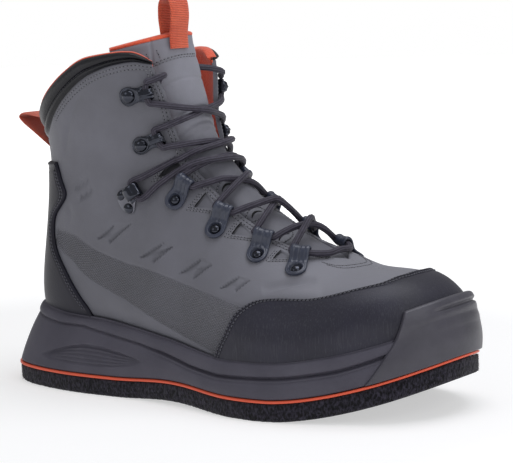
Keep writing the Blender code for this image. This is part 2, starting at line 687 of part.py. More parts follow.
# Collar: a padded roll on the upper's top edge: share of its height, padding outwards and inwards
COLLAR_ROLL = ((0.09, 0.0, 0.0), (0.3, 0.8, 0.6), (0.65, 1.0, 1.0), (0.92, 0.55, 0.8), (1.0, -0.6, 0.1))
degrees = np.concatenate([np.linspace(42, 60, 3), np.linspace(72, 180, 10)])
turns = np.radians(np.concatenate([-degrees, degrees[::-1][1:]]))
about = np.abs(np.degrees(turns))
low, high = read(COLLAR_LOW, about), read(COLLAR_TOP, about)
rows_out, rows_in = [], []
for share, outward, inward in COLLAR_ROLL:
    s = low + (high - low) * share
    rows_out.append(skin(s, turns, COLLAR_PAD_OUT * outward))
    rows_in.append(skin(s, turns, -WALL - COLLAR_PAD_IN * inward))
shell("collar", np.array(rows_out), np.array(rows_in), DARK)

# Tongue: a padded leaf behind the throat, swung to the outer side at the top
tongue_s = np.linspace(TONGUE[0][0], TONGUE[-1][0], 16)
outer_edge, inner_edge, depth = (read(TONGUE, tongue_s, k) for k in (1, 2, 3))
across = np.linspace(0, 1, 8)
turn_grid = np.radians(outer_edge[:, None] + (inner_edge - outer_edge)[:, None] * across)
share = np.broadcast_to(tongue_s[:, None], turn_grid.shape)
opening = np.maximum(read(THROAT, tongue_s), 1)[:, None]
rise = TONGUE_CROWN * ease((tongue_s - THROAT_START - 0.01) / 0.05)[:, None]
crown = rise * np.clip(1 - (np.degrees(turn_grid) / opening) ** 2, 0, 1)
top_face = skin(share, turn_grid, crown - depth[:, None])
back_face = skin(share, turn_grid, crown - depth[:, None] - TONGUE_THICKNESS)
shell("tongue", top_face, back_face, LEATHER)


def spot(s, degrees, side, along, up, out):
    """A place near a fitting: metres towards the throat, up the boot and off the last's surface."""
    turn = radians(degrees) * side
    step = 1e-3
    here = last(np.float64(s), np.float64(turn))
    per_turn = np.linalg.norm(last(np.float64(s), np.float64(turn - side * step)) - here) / step
    per_share = np.linalg.norm(last(np.float64(s + step), np.float64(turn)) - here) / step
    return skin(s + up / per_share, turn - side * along / per_turn, out)


def upward(s, degrees, side):
    turn = radians(degrees) * side
    return unit(last(np.float64(s + 1e-3), np.float64(turn)) - last(np.float64(s - 1e-3), np.float64(turn)))


# Webbing pull loops at the heel and on the tongue: share of reach back and of height, as seen from the side
HEEL_LOOP = (
    (0.0, 1.0), (0.50, 1.12), (0.90, 1.17), (1.0, 1.08), (0.93, 0.93), (0.62, 0.62), (0.30, 0.30), (0.0, 0.0),
)
back_low, back_high = skin(0.904, pi, COLLAR_PAD_OUT * 0.5 + 2 * GAP), skin(0.937, pi, COLLAR_PAD_OUT + 2 * GAP)
loop_rise = back_high[2] - back_low[2]
loop_path = [(back_low[0] + (back_high[0] - back_low[0]) * rise - reach * HEEL_LOOP_REACH, 0.0,
              back_low[2] + loop_rise * rise) for reach, rise in HEEL_LOOP]
band("heel_loop", rounded(loop_path, 22), (0, 1, 0), HEEL_LOOP_WIDTH / 2, WEBBING_THICKNESS, WEBBING)

# Its foot is on the tongue's face; the strip goes up, over and down behind the tongue's top edge
TONGUE_LOOP = (
    (0.0, -0.36), (0.0, 0.0), (0.15, 0.55), (0.05, 0.92), (-0.25, 1.0), (-0.52, 0.88), (-0.62, 0.5),
    (-0.56, 0.05), (-0.56, -0.30),
)
LOOP_SHARE, LOOP_TURN = 0.985, -14
face_rise = TONGUE_CROWN - TONGUE[-1][3] + 3 * GAP + WEBBING_THICKNESS / 2
face = skin(LOOP_SHARE, radians(LOOP_TURN), face_rise)
below = skin(LOOP_SHARE - 0.05, radians(LOOP_TURN), face_rise)
rise_way, out_way = unit(face - below), normal(np.float64(LOOP_SHARE), np.float64(radians(LOOP_TURN)))
depth_way = out_way - rise_way * np.dot(out_way, rise_way)
loop_depth = (TONGUE_THICKNESS + 3 * WEBBING_THICKNESS) / 0.56
tall, deep = rise_way * TONGUE_LOOP_HEIGHT, depth_way * loop_depth
loop_path = [face + deep * reach + tall * rise for reach, rise in TONGUE_LOOP]
wide = np.cross(rise_way, depth_way)
band("tongue_loop", rounded(loop_path, 24), wide, TONGUE_LOOP_WIDTH / 2, WEBBING_THICKNESS, WEBBING)

# Lace hardware: (share of reach towards the throat, share of reach off the upper), and half widths
LOOP_PATH = (
    (-0.30, 0.078), (0.0, 0.078), (0.30, 0.082), (0.50, 0.15), (0.64, 0.30), (0.78, 0.385), (0.92, 0.34),
    (0.99, 0.22), (0.95, 0.12), (0.82, 0.085), (0.66, 0.080),
)
HOOK_PATH = (
    (-0.42, 0.085), (0.0, 0.085), (0.5, 0.085), (0.82, 0.10), (1.0, 0.24), (0.98, 0.43), (0.78, 0.51),
    (0.55, 0.50), (0.40, 0.58),
)
HOOK_REACH = 0.0125
LOCK_PLATE = 0.0085
LOCK_SCALE = 1.1


def fitting(name, s, degrees, side, path, reach, half_width, thickness, finish):
    """A strap that lies on the upper, rises and curls over the lace."""
    points = [spot(s, degrees, side, a * reach, 0.0, out * reach) for a, out in path]
    smooth_path = rounded(points, 12)
    at = np.linspace(0, 1, 12)
    end = np.where(at < 0.12, 0.72, 1.0)
    return band(name, smooth_path, upward(s, degrees, side), half_width * end, thickness, finish)


for side, label in ((-1, "outer"), (1, "inner")):
    for number, (s, degrees) in enumerate(LOOPS, 1):
        name = f"lace_loop_{label}_{number}"
        fitting(name, s, degrees, side, LOOP_PATH, LOOP_REACH, STRAP_HALF_WIDTH, LOOP_THICKNESS, MOULDED)
    for number, (s, degrees) in enumerate(HOOKS, 1):
        name = f"speed_hook_{label}_{number}"
        made = fitting(name, s, degrees, side, HOOK_PATH, HOOK_REACH, STRAP_HALF_WIDTH, METAL_THICKNESS, METAL)
        combine(made, rivet("rivet_helper", seat(s, degrees, side), (0.0, 0.0), 0.0004, METAL), "UNION")
    s, degrees = LOCK
    reach, broad = HOOK_REACH * LOCK_SCALE, STRAP_HALF_WIDTH * LOCK_SCALE
    made = fitting(f"lock_hook_{label}", s, degrees, side, HOOK_PATH, reach, broad, METAL_THICKNESS, METAL)
    plate_path = [spot(s, degrees, side, 0.0, up * LOCK_PLATE, 0.0012) for up in (-1.0, -0.5, 0.0, 0.5, 1.0)]
    toward = spot(s, degrees, side, 0.004, 0.0, 0.0) - spot(s, degrees, side, 0.0, 0.0, 0.0)
    plate_half = DISC_RADIUS * np.array([0.7, 1.0, 1.0, 1.0, 0.7])
    plate = band("plate_helper", plate_path, toward, plate_half, METAL_THICKNESS, METAL)
    combine(made, plate, "UNION")
    for up in (-0.55, 0.55):
        head = rivet("rivet_helper", seat(s, degrees, side), (-0.001, up * LOCK_PLATE), 0.0006, METAL)
        combine(made, head, "UNION")

# Lace: a bar at the foot of the throat, and a crossing between each pair of levels
LEVELS = [(s, degrees, LOOP_REACH * 0.78, 0.0036) for s, degrees in LOOPS]
LEVELS.append((*LOCK, HOOK_REACH * 1.15, 0.0040))
LEVELS += [(s, degrees, HOOK_REACH * 1.3, 0.0036) for s, degrees in HOOKS]
LACE_MOUTH = STRAP_HALF_WIDTH * LOCK_SCALE + LACE_DIAMETER / 2 + 2 * LACE_GAP


def edge_point(s, side, out):
    return skin(s, side * radians(float(read(THROAT, s)) + 1.5), out)


def tongue_face(s):
    """Height of the tongue's face over the last, at the ridge."""
    return TONGUE_CROWN - float(read(TONGUE, s, 3))


def strand(low_level, high_level, side):
    """Path from the top of a fitting on one side, over the tongue, to the foot of the next on the other."""
    (s0, d0, a0, n0), (s1, d1, a1, n1) = low_level, high_level
    over = LACE_DIAMETER / 2 + 2 * LACE_GAP
    path = [spot(s0, d0, side, a0, LACE_MOUTH, n0)]
    for share in (-1.0, -0.5, 0.0, 0.5, 1.0):
        s = (s0 + s1) / 2 + share * (s1 - s0) * 0.18
        turn = -share * side * radians(float(read(THROAT, s)) + 1.0)
        rest = tongue_face(s) + LACE_DIAMETER / 2 + LACE_GAP
        path.append(skin(s, turn, rest + (over - rest) * abs(share) ** 2.5))
    path.append(spot(s1, d1, -side, a1, -LACE_MOUTH, n1))
    return path


s0, d0, a0, n0 = LEVELS[0]
bar_path = [spot(s0, d0, -1, a0, -LACE_MOUTH, n0), skin(s0 - 0.016, radians(-8), 0.0032),
            skin(s0 - 0.016, radians(8), 0.0032), spot(s0, d0, 1, a0, -LACE_MOUTH, n0)]
round_cord("lace_bar", rounded(bar_path, 10), LACE_DIAMETER, LACE)
for number, (low_level, high_level) in enumerate(zip(LEVELS, LEVELS[1:]), 1):
    there, back = (rounded(strand(low_level, high_level, side), 9) for side in (-1, 1))
    made = round_cord(f"lace_crossing_{number}", there, LACE_DIAMETER, LACE)
    other = round_cord("lace_helper", back, LACE_DIAMETER, LACE)
    combine(made, other, "UNION")

# The lace's ends: from each top hook over the eyestay's edge, tucked down beside the tongue
s, d, a, n = LEVELS[-1]
for side, label in ((-1, "outer"), (1, "inner")):
    tuck_turn = float(read(THROAT, s)) + 3
    end_path = [spot(s, d, side, a, LACE_MOUTH, n), edge_point(s + 0.045, side, LACE_DIAMETER / 2 + 0.0012),
                skin(s + 0.050, side * radians(tuck_turn - 8), -0.0012),
                skin(s + 0.043, side * radians(tuck_turn - 4), -WALL - LACE_DIAMETER / 2 - 0.001),
                skin(s + 0.024, side * radians(tuck_turn - 2), -WALL - LACE_DIAMETER / 2 - 0.001)]
    tube(f"lace_end_{label}", rounded(end_path, 12), LACE_DIAMETER, LACE)

# The heel's flat face becomes the origin: every piece and helper moves back by its place on the sole
for made in bpy.data.objects:
    made.data.transform(Matrix.Translation((-HEEL_REST, 0.0, 0.0)))
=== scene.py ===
"""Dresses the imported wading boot: felt sole, rubber midsole, moulded leather upper, padded collar, hooks and lace."""
import math
from math import pi, radians

import bmesh
import bpy
from mathutils import Matrix
from mathutils.bvhtree import BVHTree
import numpy as np


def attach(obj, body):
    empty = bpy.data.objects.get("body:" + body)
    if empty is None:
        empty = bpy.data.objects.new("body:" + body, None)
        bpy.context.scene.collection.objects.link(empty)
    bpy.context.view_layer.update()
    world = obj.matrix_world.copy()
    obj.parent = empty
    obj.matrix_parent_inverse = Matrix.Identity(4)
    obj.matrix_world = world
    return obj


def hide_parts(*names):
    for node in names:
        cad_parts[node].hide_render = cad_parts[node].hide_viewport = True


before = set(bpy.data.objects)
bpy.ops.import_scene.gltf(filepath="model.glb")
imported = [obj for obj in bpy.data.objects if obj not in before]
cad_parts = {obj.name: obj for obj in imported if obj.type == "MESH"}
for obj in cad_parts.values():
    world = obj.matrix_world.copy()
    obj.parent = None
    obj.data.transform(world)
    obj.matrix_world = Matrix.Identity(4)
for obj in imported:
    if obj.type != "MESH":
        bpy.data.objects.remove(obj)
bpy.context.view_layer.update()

# Camera: from the outer side and a little above, turned towards the toe, with a long lens
AZIMUTH, ELEVATION, ROLL = radians(37.5), radians(7.0), radians(-2.5)
TARGET, DISTANCE, LENS = np.array([0.1112, 0.0, 0.0945]), 1.0, 122.53
back = np.array([math.sin(AZIMUTH) * math.cos(ELEVATION), -math.cos(AZIMUTH) * math.cos(ELEVATION), math.sin(ELEVATION)])
level_right = np.array([math.cos(AZIMUTH), math.sin(AZIMUTH), 0.0])
level_up = np.cross(back, level_right)
right = level_right * math.cos(ROLL) + level_up * math.sin(ROLL)
up = level_up * math.cos(ROLL) - level_right * math.sin(ROLL)
camera = bpy.data.objects.new("camera", bpy.data.cameras.new("camera"))
bpy.context.scene.collection.objects.link(camera)
camera.data.lens = LENS
camera.data.clip_start, camera.data.clip_end = 0.05, 20.0
place = np.eye(4)
place[:3, 0], place[:3, 1], place[:3, 2], place[:3, 3] = right, up, back, TARGET + back * DISTANCE
camera.matrix_world = Matrix(place.tolist())
bpy.context.scene.camera = camera


def hex_colour(code):
    """Linear RGBA of an sRGB hex colour."""
    value = np.array([int(code[i : i + 2], 16) for i in (1, 3, 5)]) / 255
    linear = np.where(value <= 0.04045, value / 12.92, ((value + 0.055) / 1.055) ** 2.4)
    return (*map(float, linear), 1.0)


# Studio: a white sweep that fades into a white room, a broad soft light overhead and one at the toe side
def node(tree, kind, settings=None, **links):
    """One node with its own settings, and its inputs set to a value or joined to another node's output."""
    made = tree.nodes.new("ShaderNode" + kind)
    for key, value in (settings or {}).items():
        setattr(made, key, value)
    for key, value in links.items():
        socket = made.inputs[int(key[1:])] if key[0] == "_" and key[1:].isdigit() else made.inputs[key.replace("_", " ")]
        if isinstance(value, bpy.types.NodeSocket):
            tree.links.new(value, socket)
        else:
            socket.default_value = value
    return made


def maths(tree, operation, *values):
    """Output of a Math node on up to three numbers or sockets."""
    return node(tree, "Math", {"operation": operation}, **{f"_{k}": value for k, value in enumerate(values)}).outputs[0]


bpy.context.scene.view_settings.view_transform = "Standard"
world = bpy.data.worlds.new("studio")
bpy.context.scene.world = world
world.use_nodes = True
tree = world.node_tree
background = tree.nodes["Background"]
background.inputs["Color"].default_value = (1.0, 1.0, 1.0, 1.0)
# the room is seen white, but lights the boot with less than half of that
ROOM_LIGHT = 0.38
seen = node(tree, "LightPath").outputs["Is Camera Ray"]
tree.links.new(maths(tree, "MULTIPLY_ADD", seen, 1 - ROOM_LIGHT, ROOM_LIGHT), background.inputs["Strength"])


def unit(v):
    """Vectors scaled to a length of one."""
    return v / (np.linalg.norm(v, axis=-1, keepdims=True) + 1e-12)


def studio_light(name, where, aim, size, power):
    """A square soft light at a place, turned towards its aim."""
    data = bpy.data.lights.new(name, "AREA")
    data.size, data.energy, data.color = size, power, (0.93, 0.945, 1.0)
    made = bpy.data.objects.new(name, data)
    bpy.context.scene.collection.objects.link(made)
    toward = unit(np.array(where) - np.array(aim))
    side = unit(np.cross((0.0, 0.0, 1.0), toward))
    frame_of = np.eye(4)
    frame_of[:3, 0], frame_of[:3, 1], frame_of[:3, 2], frame_of[:3, 3] = side, np.cross(toward, side), toward, where
    made.matrix_world = Matrix(frame_of.tolist())


studio_light("overhead", (0.35, 0.15, 1.3), (0.17, 0.0, 0.08), 0.9, 9.0)
studio_light("toe_side", (1.3, -0.35, 0.75), (0.2, 0.0, 0.08), 0.7, 3.4)
studio_light("near_side", (-0.35, -1.3, 0.9), (0.12, 0.0, 0.1), 0.6, 1.6)


def material(name, colour, roughness, **sockets):
    """A Principled material with its flat colour, roughness and any other socket set on the shader itself."""
    made = bpy.data.materials.new(name)
    made.use_nodes = True
    shader = made.node_tree.nodes["Principled BSDF"]
    shader.inputs["Base Color"].default_value = hex_colour(colour)
    shader.inputs["Roughness"].default_value = roughness
    for key, value in sockets.items():
        shader.inputs[key.replace("_", " ")].default_value = value
    return made


sweep_mesh = bpy.data.meshes.new("studio_floor")
sweep_mesh.from_pydata([(-6, -6, 0), (6, -6, 0), (6, 6, 0), (-6, 6, 0)], [], [(0, 1, 2, 3)])
sweep = bpy.data.objects.new("studio_floor", sweep_mesh)
bpy.context.scene.collection.objects.link(sweep)
# painted glow: the white floor glows by emission, a little less under the boot so that its shadow shows and more
# further away
glowing_floor = material("white_floor_painted_glow", "#bfbfbf", 0.9, Emission_Color=hex_colour("#ffffff"))
tree = glowing_floor.node_tree
from_boot = node(tree, "VectorMath", {"operation": "LENGTH"}, _0=node(tree, "TexCoord").outputs["Object"])
glow = node(tree, "MapRange", Value=from_boot.outputs["Value"], From_Min=0.28, From_Max=0.75, To_Min=0.52, To_Max=1.05)
tree.links.new(glow.outputs[0], tree.nodes["Principled BSDF"].inputs["Emission Strength"])
sweep_mesh.materials.append(glowing_floor)

# Felt outsole: 10 mm of needled fibre, cut to the sole's outline, flat at heel and ball and sprung at the toe
SOLE_LENGTH = 0.313
HEEL_REST = 0.070
BALL_WIDTH = 0.1155
GAP = 0.0003
FELT_THICKNESS = 0.010
TOE_SPRING = 0.021
ARCH_LIFT = 0.002
ROLL_START, ROLL_POWER = 0.72, 1.75
ARCH_FROM, ARCH_TO = 0.34, 0.64
OUTLINE = (
    (0.006, 0.000), (0.022, -0.147), (0.058, -0.280), (0.121, -0.368), (0.240, -0.420), (0.383, -0.411),
    (0.524, -0.442), (0.655, -0.515), (0.767, -0.481), (0.863, -0.381), (0.936, -0.268), (0.984, -0.095),
    (0.998, 0.078), (0.985, 0.242), (0.946, 0.372), (0.879, 0.464), (0.783, 0.502), (0.687, 0.485),
    (0.575, 0.398), (0.447, 0.312), (0.319, 0.294), (0.217, 0.320), (0.121, 0.338), (0.045, 0.242),
)
ORIGIN = np.array([HEEL_REST, 0.0, 0.0])
chance = np.random.default_rng(7)


def ease(v):
    """Smooth step: 3 v squared less 2 v cubed."""
    v = np.clip(v, 0, 1)
    return v * v * (3 - 2 * v)


def read(table, at, column=1):
    """A column of a table, read between its rows at values of its first column."""
    rows = np.asarray(table, float)
    return np.interp(at, rows[:, 0], rows[:, column])


def cubic(rows, bends, i, j, t):
    """A cubic between rows i and j at share t, from their places and second slopes."""
    curve = ((1 - t) ** 3 - (1 - t)) * bends[i] + (t**3 - t) * bends[j]
    return rows[i] * (1 - t) + rows[j] * t + curve / 6


def around(rows, at):
    """Closed cubic curve through evenly spaced rows, read at shares of one turn."""
    rows = np.asarray(rows, float)
    n = len(rows)
    matrix = 4 * np.eye(n) + np.roll(np.eye(n), 1, 0) + np.roll(np.eye(n), -1, 0)
    bends = np.linalg.solve(matrix, 6 * (np.roll(rows, 1, 0) - 2 * rows + np.roll(rows, -1, 0)))
    u = np.mod(np.asarray(at, float), 1) * n
    i = u.astype(int) % n
    return cubic(rows, bends, i, (i + 1) % n, (u - np.floor(u))[..., None])


def ground(x):
    """Height of the felt's underside: flat, less a lifted arch, plus a power curve at the toe."""
    v = np.asarray(x, float) / SOLE_LENGTH
    roll = np.clip((v - ROLL_START) / (1 - ROLL_START), 0, None) ** ROLL_POWER * TOE_SPRING
    return roll + np.sin(pi * np.clip((v - ARCH_FROM) / (ARCH_TO - ARCH_FROM), 0, 1)) ** 2 * ARCH_LIFT


def outline(t, grow=0.0):
    """The outline's point at share t, moved outwards by grow, and its outward direction."""
    size, step = np.array([SOLE_LENGTH, BALL_WIDTH]), 1e-3
    ahead = (around(OUTLINE, np.asarray(t) + step) - around(OUTLINE, np.asarray(t) - step)) * size
    out = unit(np.stack([ahead[..., 1], -ahead[..., 0]], -1))
    return around(OUTLINE, t) * size + out * np.asarray(grow)[..., None], out


def placed(name, mesh, replaces=(), merge=0.0):
    """A mesh as an object that rides on the boot: points nearer than merge joined, normals turned out, shaded smooth."""
    work = bmesh.new()
    work.from_mesh(mesh)
    if merge:
        bmesh.ops.remove_doubles(work, verts=work.verts, dist=merge)
    bmesh.ops.recalc_face_normals(work, faces=work.faces)
    work.to_mesh(mesh)
    work.free()
    mesh.shade_smooth()
    made = bpy.data.objects.new(name, mesh)
    bpy.context.scene.collection.objects.link(made)
    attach(made, "root")
    if replaces:
        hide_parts(*replaces)
    return made


def piece(name, points, quads, finishes, replaces=(), slot=None, which=None, uv=None, values=None):
    """An object from point and quad arrays, loose points dropped, with its materials, UV and point values."""
    used, quads = np.unique(quads, return_inverse=True)
    quads = quads.reshape(-1, 4)
    points = points.reshape(-1, 3)[used] - ORIGIN
    mesh = bpy.data.meshes.new(name)
    mesh.vertices.add(len(points))
    mesh.vertices.foreach_set("co", points.astype(np.float32).ravel())
    mesh.loops.add(quads.size)
    mesh.loops.foreach_set("vertex_index", quads.astype(np.int32).ravel())
    mesh.polygons.add(len(quads))
    mesh.polygons.foreach_set("loop_start", np.arange(0, quads.size, 4, dtype=np.int32))
    mesh.update(calc_edges=True)
    if uv is not None:
        layer = mesh.uv_layers.new(name="UVMap")
        layer.uv.foreach_set("vector", uv.reshape(-1, 2)[used][quads.ravel()].astype(np.float32).ravel())
    for key, value in (values or {}).items():
        mesh.attributes.new(key, "FLOAT", "POINT").data.foreach_set("value", value.ravel()[used].astype(np.float32))
    for finish in finishes:
        mesh.materials.append(finish)
    if which is not None:
        mesh.polygons.foreach_set("material_index", which.astype(np.int32))
    return placed(name, mesh, replaces, merge=2e-6)


def grid_quads(rows, cols, wrap=False):
    """Corner indices of a grid's quads, joined round the columns if wrap is set."""
    index = np.arange(rows * cols).reshape(rows, cols)
    if wrap:
        index = np.concatenate([index, index[:, :1]], axis=1)
    return np.stack([index[:-1, :-1], index[:-1, 1:], index[1:, 1:], index[1:, :-1]], -1)


def round_quads(rings):
    """Quads of a tube of closed rings."""
    return grid_quads(*np.shape(rings)[:2], wrap=True).reshape(-1, 4)


def capped(rings, shares=(0.9, 0.66, 0.33, 0.0)):
    """Rings closed at both ends: each end ring drawn in towards the line half way between its two sides."""
    rings = np.asarray(rings)
    ends = []
    for ring in (rings[0], rings[-1]):
        middle = (ring + np.roll(ring[::-1], 1, axis=0)) / 2
        ends.append([middle + (ring - middle) * share for share in shares])
    return np.concatenate([ends[0][::-1], rings, ends[1]])


def walked(points, axis=0):
    """Distance walked to each point of a path, or along one axis of a grid of points."""
    run = np.cumsum(np.linalg.norm(np.diff(points, axis=axis), axis=-1), axis=axis)
    return np.concatenate([np.zeros_like(np.take(run, [0], axis=axis)), run], axis=axis)


def lengths(points):
    """Share of its whole length at each point of a path."""
    run = walked(points)
    return run / run[-1]


def rough(shape, seed, passes=0):
    """Seeded noise from -1 to 1 on a grid that closes round its columns, smoothed by neighbour means."""
    value = np.random.default_rng(seed).uniform(-1, 1, shape)
    for _ in range(passes):
        value = (value + np.roll(value, 1, 1) + np.roll(value, -1, 1)) / 3
        value[1:-1] = (value[1:-1] + value[2:] + value[:-2]) / 3
    return value


def ramped(tree, factor, low_at, low, high_at, high):
    """Colour output of a ramp between two colours, each with its place."""
    made = node(tree, "ValToRGB", Fac=factor)
    for element, at, colour in zip(made.color_ramp.elements, (low_at, high_at), (low, high)):
        element.position, element.color = at, colour
    return made.outputs[0]


def bumped(tree, height, strength, distance, under=None):
    """Normal output of a Bump node, over a normal that is bumped already if one is given."""
    made = node(tree, "Bump", Height=height, Strength=strength, Distance=distance)
    if under:
        tree.links.new(under, made.inputs["Normal"])
    return made.outputs[0]


# needled polypropylene felt: near-black, with paler fibre ends and no gloss at all
felt_finish = material("needled_felt", "#26262a", 0.97, Specular_IOR_Level=0.12, Sheen_Weight=0.12, Sheen_Roughness=0.6)
tree = felt_finish.node_tree
shader = tree.nodes["Principled BSDF"]
where = node(tree, "TexCoord").outputs["Object"]
upright = node(tree, "Mapping", Vector=where, Scale=(1.0, 1.0, 0.55)).outputs[0]
fibre = node(tree, "TexNoise", Vector=upright, Scale=900.0, Detail=3.0).outputs["Fac"]
clump = node(tree, "TexNoise", Vector=where, Scale=260.0, Detail=2.0).outputs["Fac"]
tree.links.new(ramped(tree, fibre, 0.40, hex_colour("#0b0a0f"), 0.68, hex_colour("#35323e")), shader.inputs["Base Color"])
tree.links.new(bumped(tree, maths(tree, "ADD", fibre, clump), 0.9, 0.0006), shader.inputs["Normal"])

FELT_COLUMNS = 820
w = np.arange(FELT_COLUMNS) / FELT_COLUMNS
t_even = np.linspace(0, 1, 4001)
flat_line = outline(t_even, t_even * 0)[0]
felt_t = np.interp(w, lengths(flat_line), t_even)
felt_rise = np.array([0.0, 0.0004, 0.0011, 0.0021, 0.0032, 0.0043, 0.0054, 0.0065, 0.0076, 0.0087, 0.0097, 0.0100])
felt_grow = np.array([-0.0016, -0.0008, -0.0004, -0.0002, 0.0, 0.0, 0.0, 0.0, 0.0, 0.0, -0.0002, -0.0008])
ragged = rough((len(felt_rise), FELT_COLUMNS), 3) * 0.00030 + rough((len(felt_rise), FELT_COLUMNS), 4, 3) * 0.0004
ragged[-2:] *= 0.3
felt_rings = []
for k, (rise, grow) in enumerate(zip(felt_rise, felt_grow)):
    flat, _ = outline(felt_t, grow + ragged[k])
    lift = np.clip(ragged[(k + 3) % len(felt_rise)] * (1.0 if k < 3 else 0.4), -0.0, 0.0004)
    felt_rings.append(np.column_stack([flat, ground(flat[:, 0]) + rise + lift * (k > 0)]))
felt_rings = capped(felt_rings, (0.985, 0.9, 0.6, 0.3, 0.0))
piece("felt_sole", felt_rings, round_quads(felt_rings), [felt_finish], ["felt_outsole"], "felt")

# loose fibre ends: thin four-sided needles that stand out of the felt's cut edge
FIBRES = 5200
share = chance.uniform(0, 1, FIBRES)
root_flat, root_out = outline(np.interp(share, lengths(flat_line), t_even), share * 0)
rise = chance.uniform(0.0004, 0.0098, FIBRES)
root = np.column_stack([root_flat, ground(root_flat[:, 0]) + rise])
out = np.column_stack([root_out, np.zeros(FIBRES)])
along = np.column_stack([-root_out[:, 1], root_out[:, 0], np.zeros(FIBRES)])
lean = along * chance.normal(0, 0.8, (FIBRES, 1)) + np.array([0, 0, 1.0]) * chance.normal(-0.1, 0.4, (FIBRES, 1))
size = chance.uniform(0.0004, 0.0010, (FIBRES, 1))
tip = root + unit(out + lean) * size
tip[:, 2] = np.maximum(tip[:, 2], ground(tip[:, 0]) + 0.0001)
foot = root - out * 0.0003
thin = 0.00009
upwards = np.array([0, 0, thin])
corners = np.stack([foot + along * thin, foot + upwards, foot - along * thin, foot - upwards], 1)
points = np.concatenate([corners, tip[:, None]], axis=1)
base = np.arange(FIBRES)[:, None] * 5
faces = [(base + np.array([k, (k + 1) % 4, 4])).tolist() for k in range(4)] + [(base + np.array([3, 2, 1, 0])).tolist()]
fibre_mesh = bpy.data.meshes.new("felt_fibres")
fibre_mesh.from_pydata((points.reshape(-1, 3) - ORIGIN).tolist(), [], sum(faces, []))
fibre_mesh.materials.append(felt_finish)
placed("felt_fibres", fibre_mesh)

# Edge line: a 1.6 mm sheet of orange rubber glued between felt and midsole, showing as a thin bead all round
LINE_THICKNESS = 0.0016
# smooth orange rubber sheet, half matt
orange_finish = material("orange_rubber", "#dc5a3e", 0.45, Specular_IOR_Level=0.4)
line_low = FELT_THICKNESS + GAP
LINE_COLUMNS = 600
w = np.arange(LINE_COLUMNS) / LINE_COLUMNS
line_t = np.interp(w, lengths(flat_line), t_even)
line_rings = []
LINE_PROFILE = ((0.0, -0.0002), (0.0001, 0.0004), (0.0005, 0.0008), (0.0011, 0.0008), (0.0015, 0.0004), (0.0016, -0.0002))
for rise, grow in LINE_PROFILE:
    flat, _ = outline(line_t, line_t * 0 + grow)
    line_rings.append(np.column_stack([flat, ground(flat[:, 0]) + line_low + rise]))
line_rings = capped(line_rings)
piece("edge_line", line_rings, round_quads(line_rings), [orange_finish], ["sole_line"], "orange_rubber")

# Midsole: one moulded rubber cup with a lipped rim, a groove along its side and ribbed recesses at the heel
FORM_WIDTH = 0.102
SHAFT_RISE = 0.168
HEEL_CORE, BALL_CORE = 0.019, 0.0062
CORE_FROM, CORE_TO = 0.29, 0.655
RIM_RISE, RIM_LIP = 0.014, 0.003
CUP_GAP = 0.0005
SECTIONS = (
    # low x, rise, top x, rise, centre, half, ridge, widest, low power, top power
    (0.971, 0.000, 0.971, 0.000, 0.098, 0.000, 0.098, 0.50, 2.2, 2.0),
    (0.965, 0.000, 0.978, 0.055, 0.093, 0.122, 0.093, 0.50, 2.5, 2.0),
    (0.946, 0.000, 0.977, 0.130, 0.088, 0.220, 0.088, 0.45, 3.0, 2.1),
    (0.917, 0.000, 0.962, 0.200, 0.078, 0.304, 0.080, 0.42, 3.5, 2.2),
    (0.878, 0.000, 0.932, 0.266, 0.059, 0.378, 0.072, 0.40, 4.0, 2.3),
    (0.833, 0.000, 0.893, 0.312, 0.034, 0.446, 0.064, 0.38, 4.3, 2.3),
    (0.782, 0.000, 0.848, 0.336, 0.010, 0.486, 0.055, 0.36, 4.5, 2.3),
    (0.725, 0.000, 0.798, 0.357, -0.015, 0.500, 0.047, 0.35, 4.5, 2.2),
    (0.661, 0.000, 0.744, 0.394, -0.034, 0.485, 0.038, 0.34, 4.5, 2.2),
    (0.594, 0.000, 0.690, 0.424, -0.049, 0.451, 0.029, 0.34, 4.5, 2.1),
    (0.521, 0.000, 0.636, 0.458, -0.058, 0.412, 0.020, 0.35, 4.2, 2.1),
    (0.435, 0.000, 0.581, 0.510, -0.058, 0.378, 0.010, 0.38, 4.0, 2.1),
    (0.335, 0.000, 0.534, 0.582, -0.049, 0.358, 0.005, 0.42, 3.5, 2.2),
    (0.224, 0.000, 0.500, 0.668, -0.034, 0.353, 0.000, 0.45, 3.0, 2.2),
    (0.130, 0.000, 0.484, 0.752, -0.015, 0.360, 0.000, 0.48, 2.7, 2.3),
    (0.087, 0.080, 0.477, 0.812, 0.000, 0.370, 0.000, 0.50, 2.5, 2.3),
    (0.096, 0.245, 0.473, 0.866, 0.000, 0.380, 0.000, 0.50, 2.4, 2.3),
    (0.117, 0.437, 0.471, 0.914, 0.000, 0.392, 0.000, 0.50, 2.4, 2.3),
    (0.120, 0.634, 0.471, 0.955, 0.000, 0.402, 0.000, 0.50, 2.3, 2.3),
    (0.099, 0.812, 0.471, 0.997, 0.000, 0.407, 0.000, 0.50, 2.3, 2.3),
    (0.077, 0.979, 0.470, 1.086, 0.000, 0.412, 0.000, 0.50, 2.3, 2.3),
)
RIM = ((0.0, 1.50), (0.1, 1.25), (0.2, 1.00), (0.3, 0.93), (0.45, 0.80), (0.6, 0.85), (0.7, 0.92), (0.8, 1.0), (1.0, 1.04))
GROOVE = (
    (0.0, 0.84), (0.11, 0.82), (0.19, 0.845), (0.24, 0.80), (0.31, 0.775), (0.37, 0.755), (0.436, 0.684), (0.52, 0.55),
    (0.6, 0.532), (0.67, 0.57), (0.72, 0.595), (0.79, 0.595), (0.845, 0.582), (0.915, 0.646), (1.0, 0.68),
)


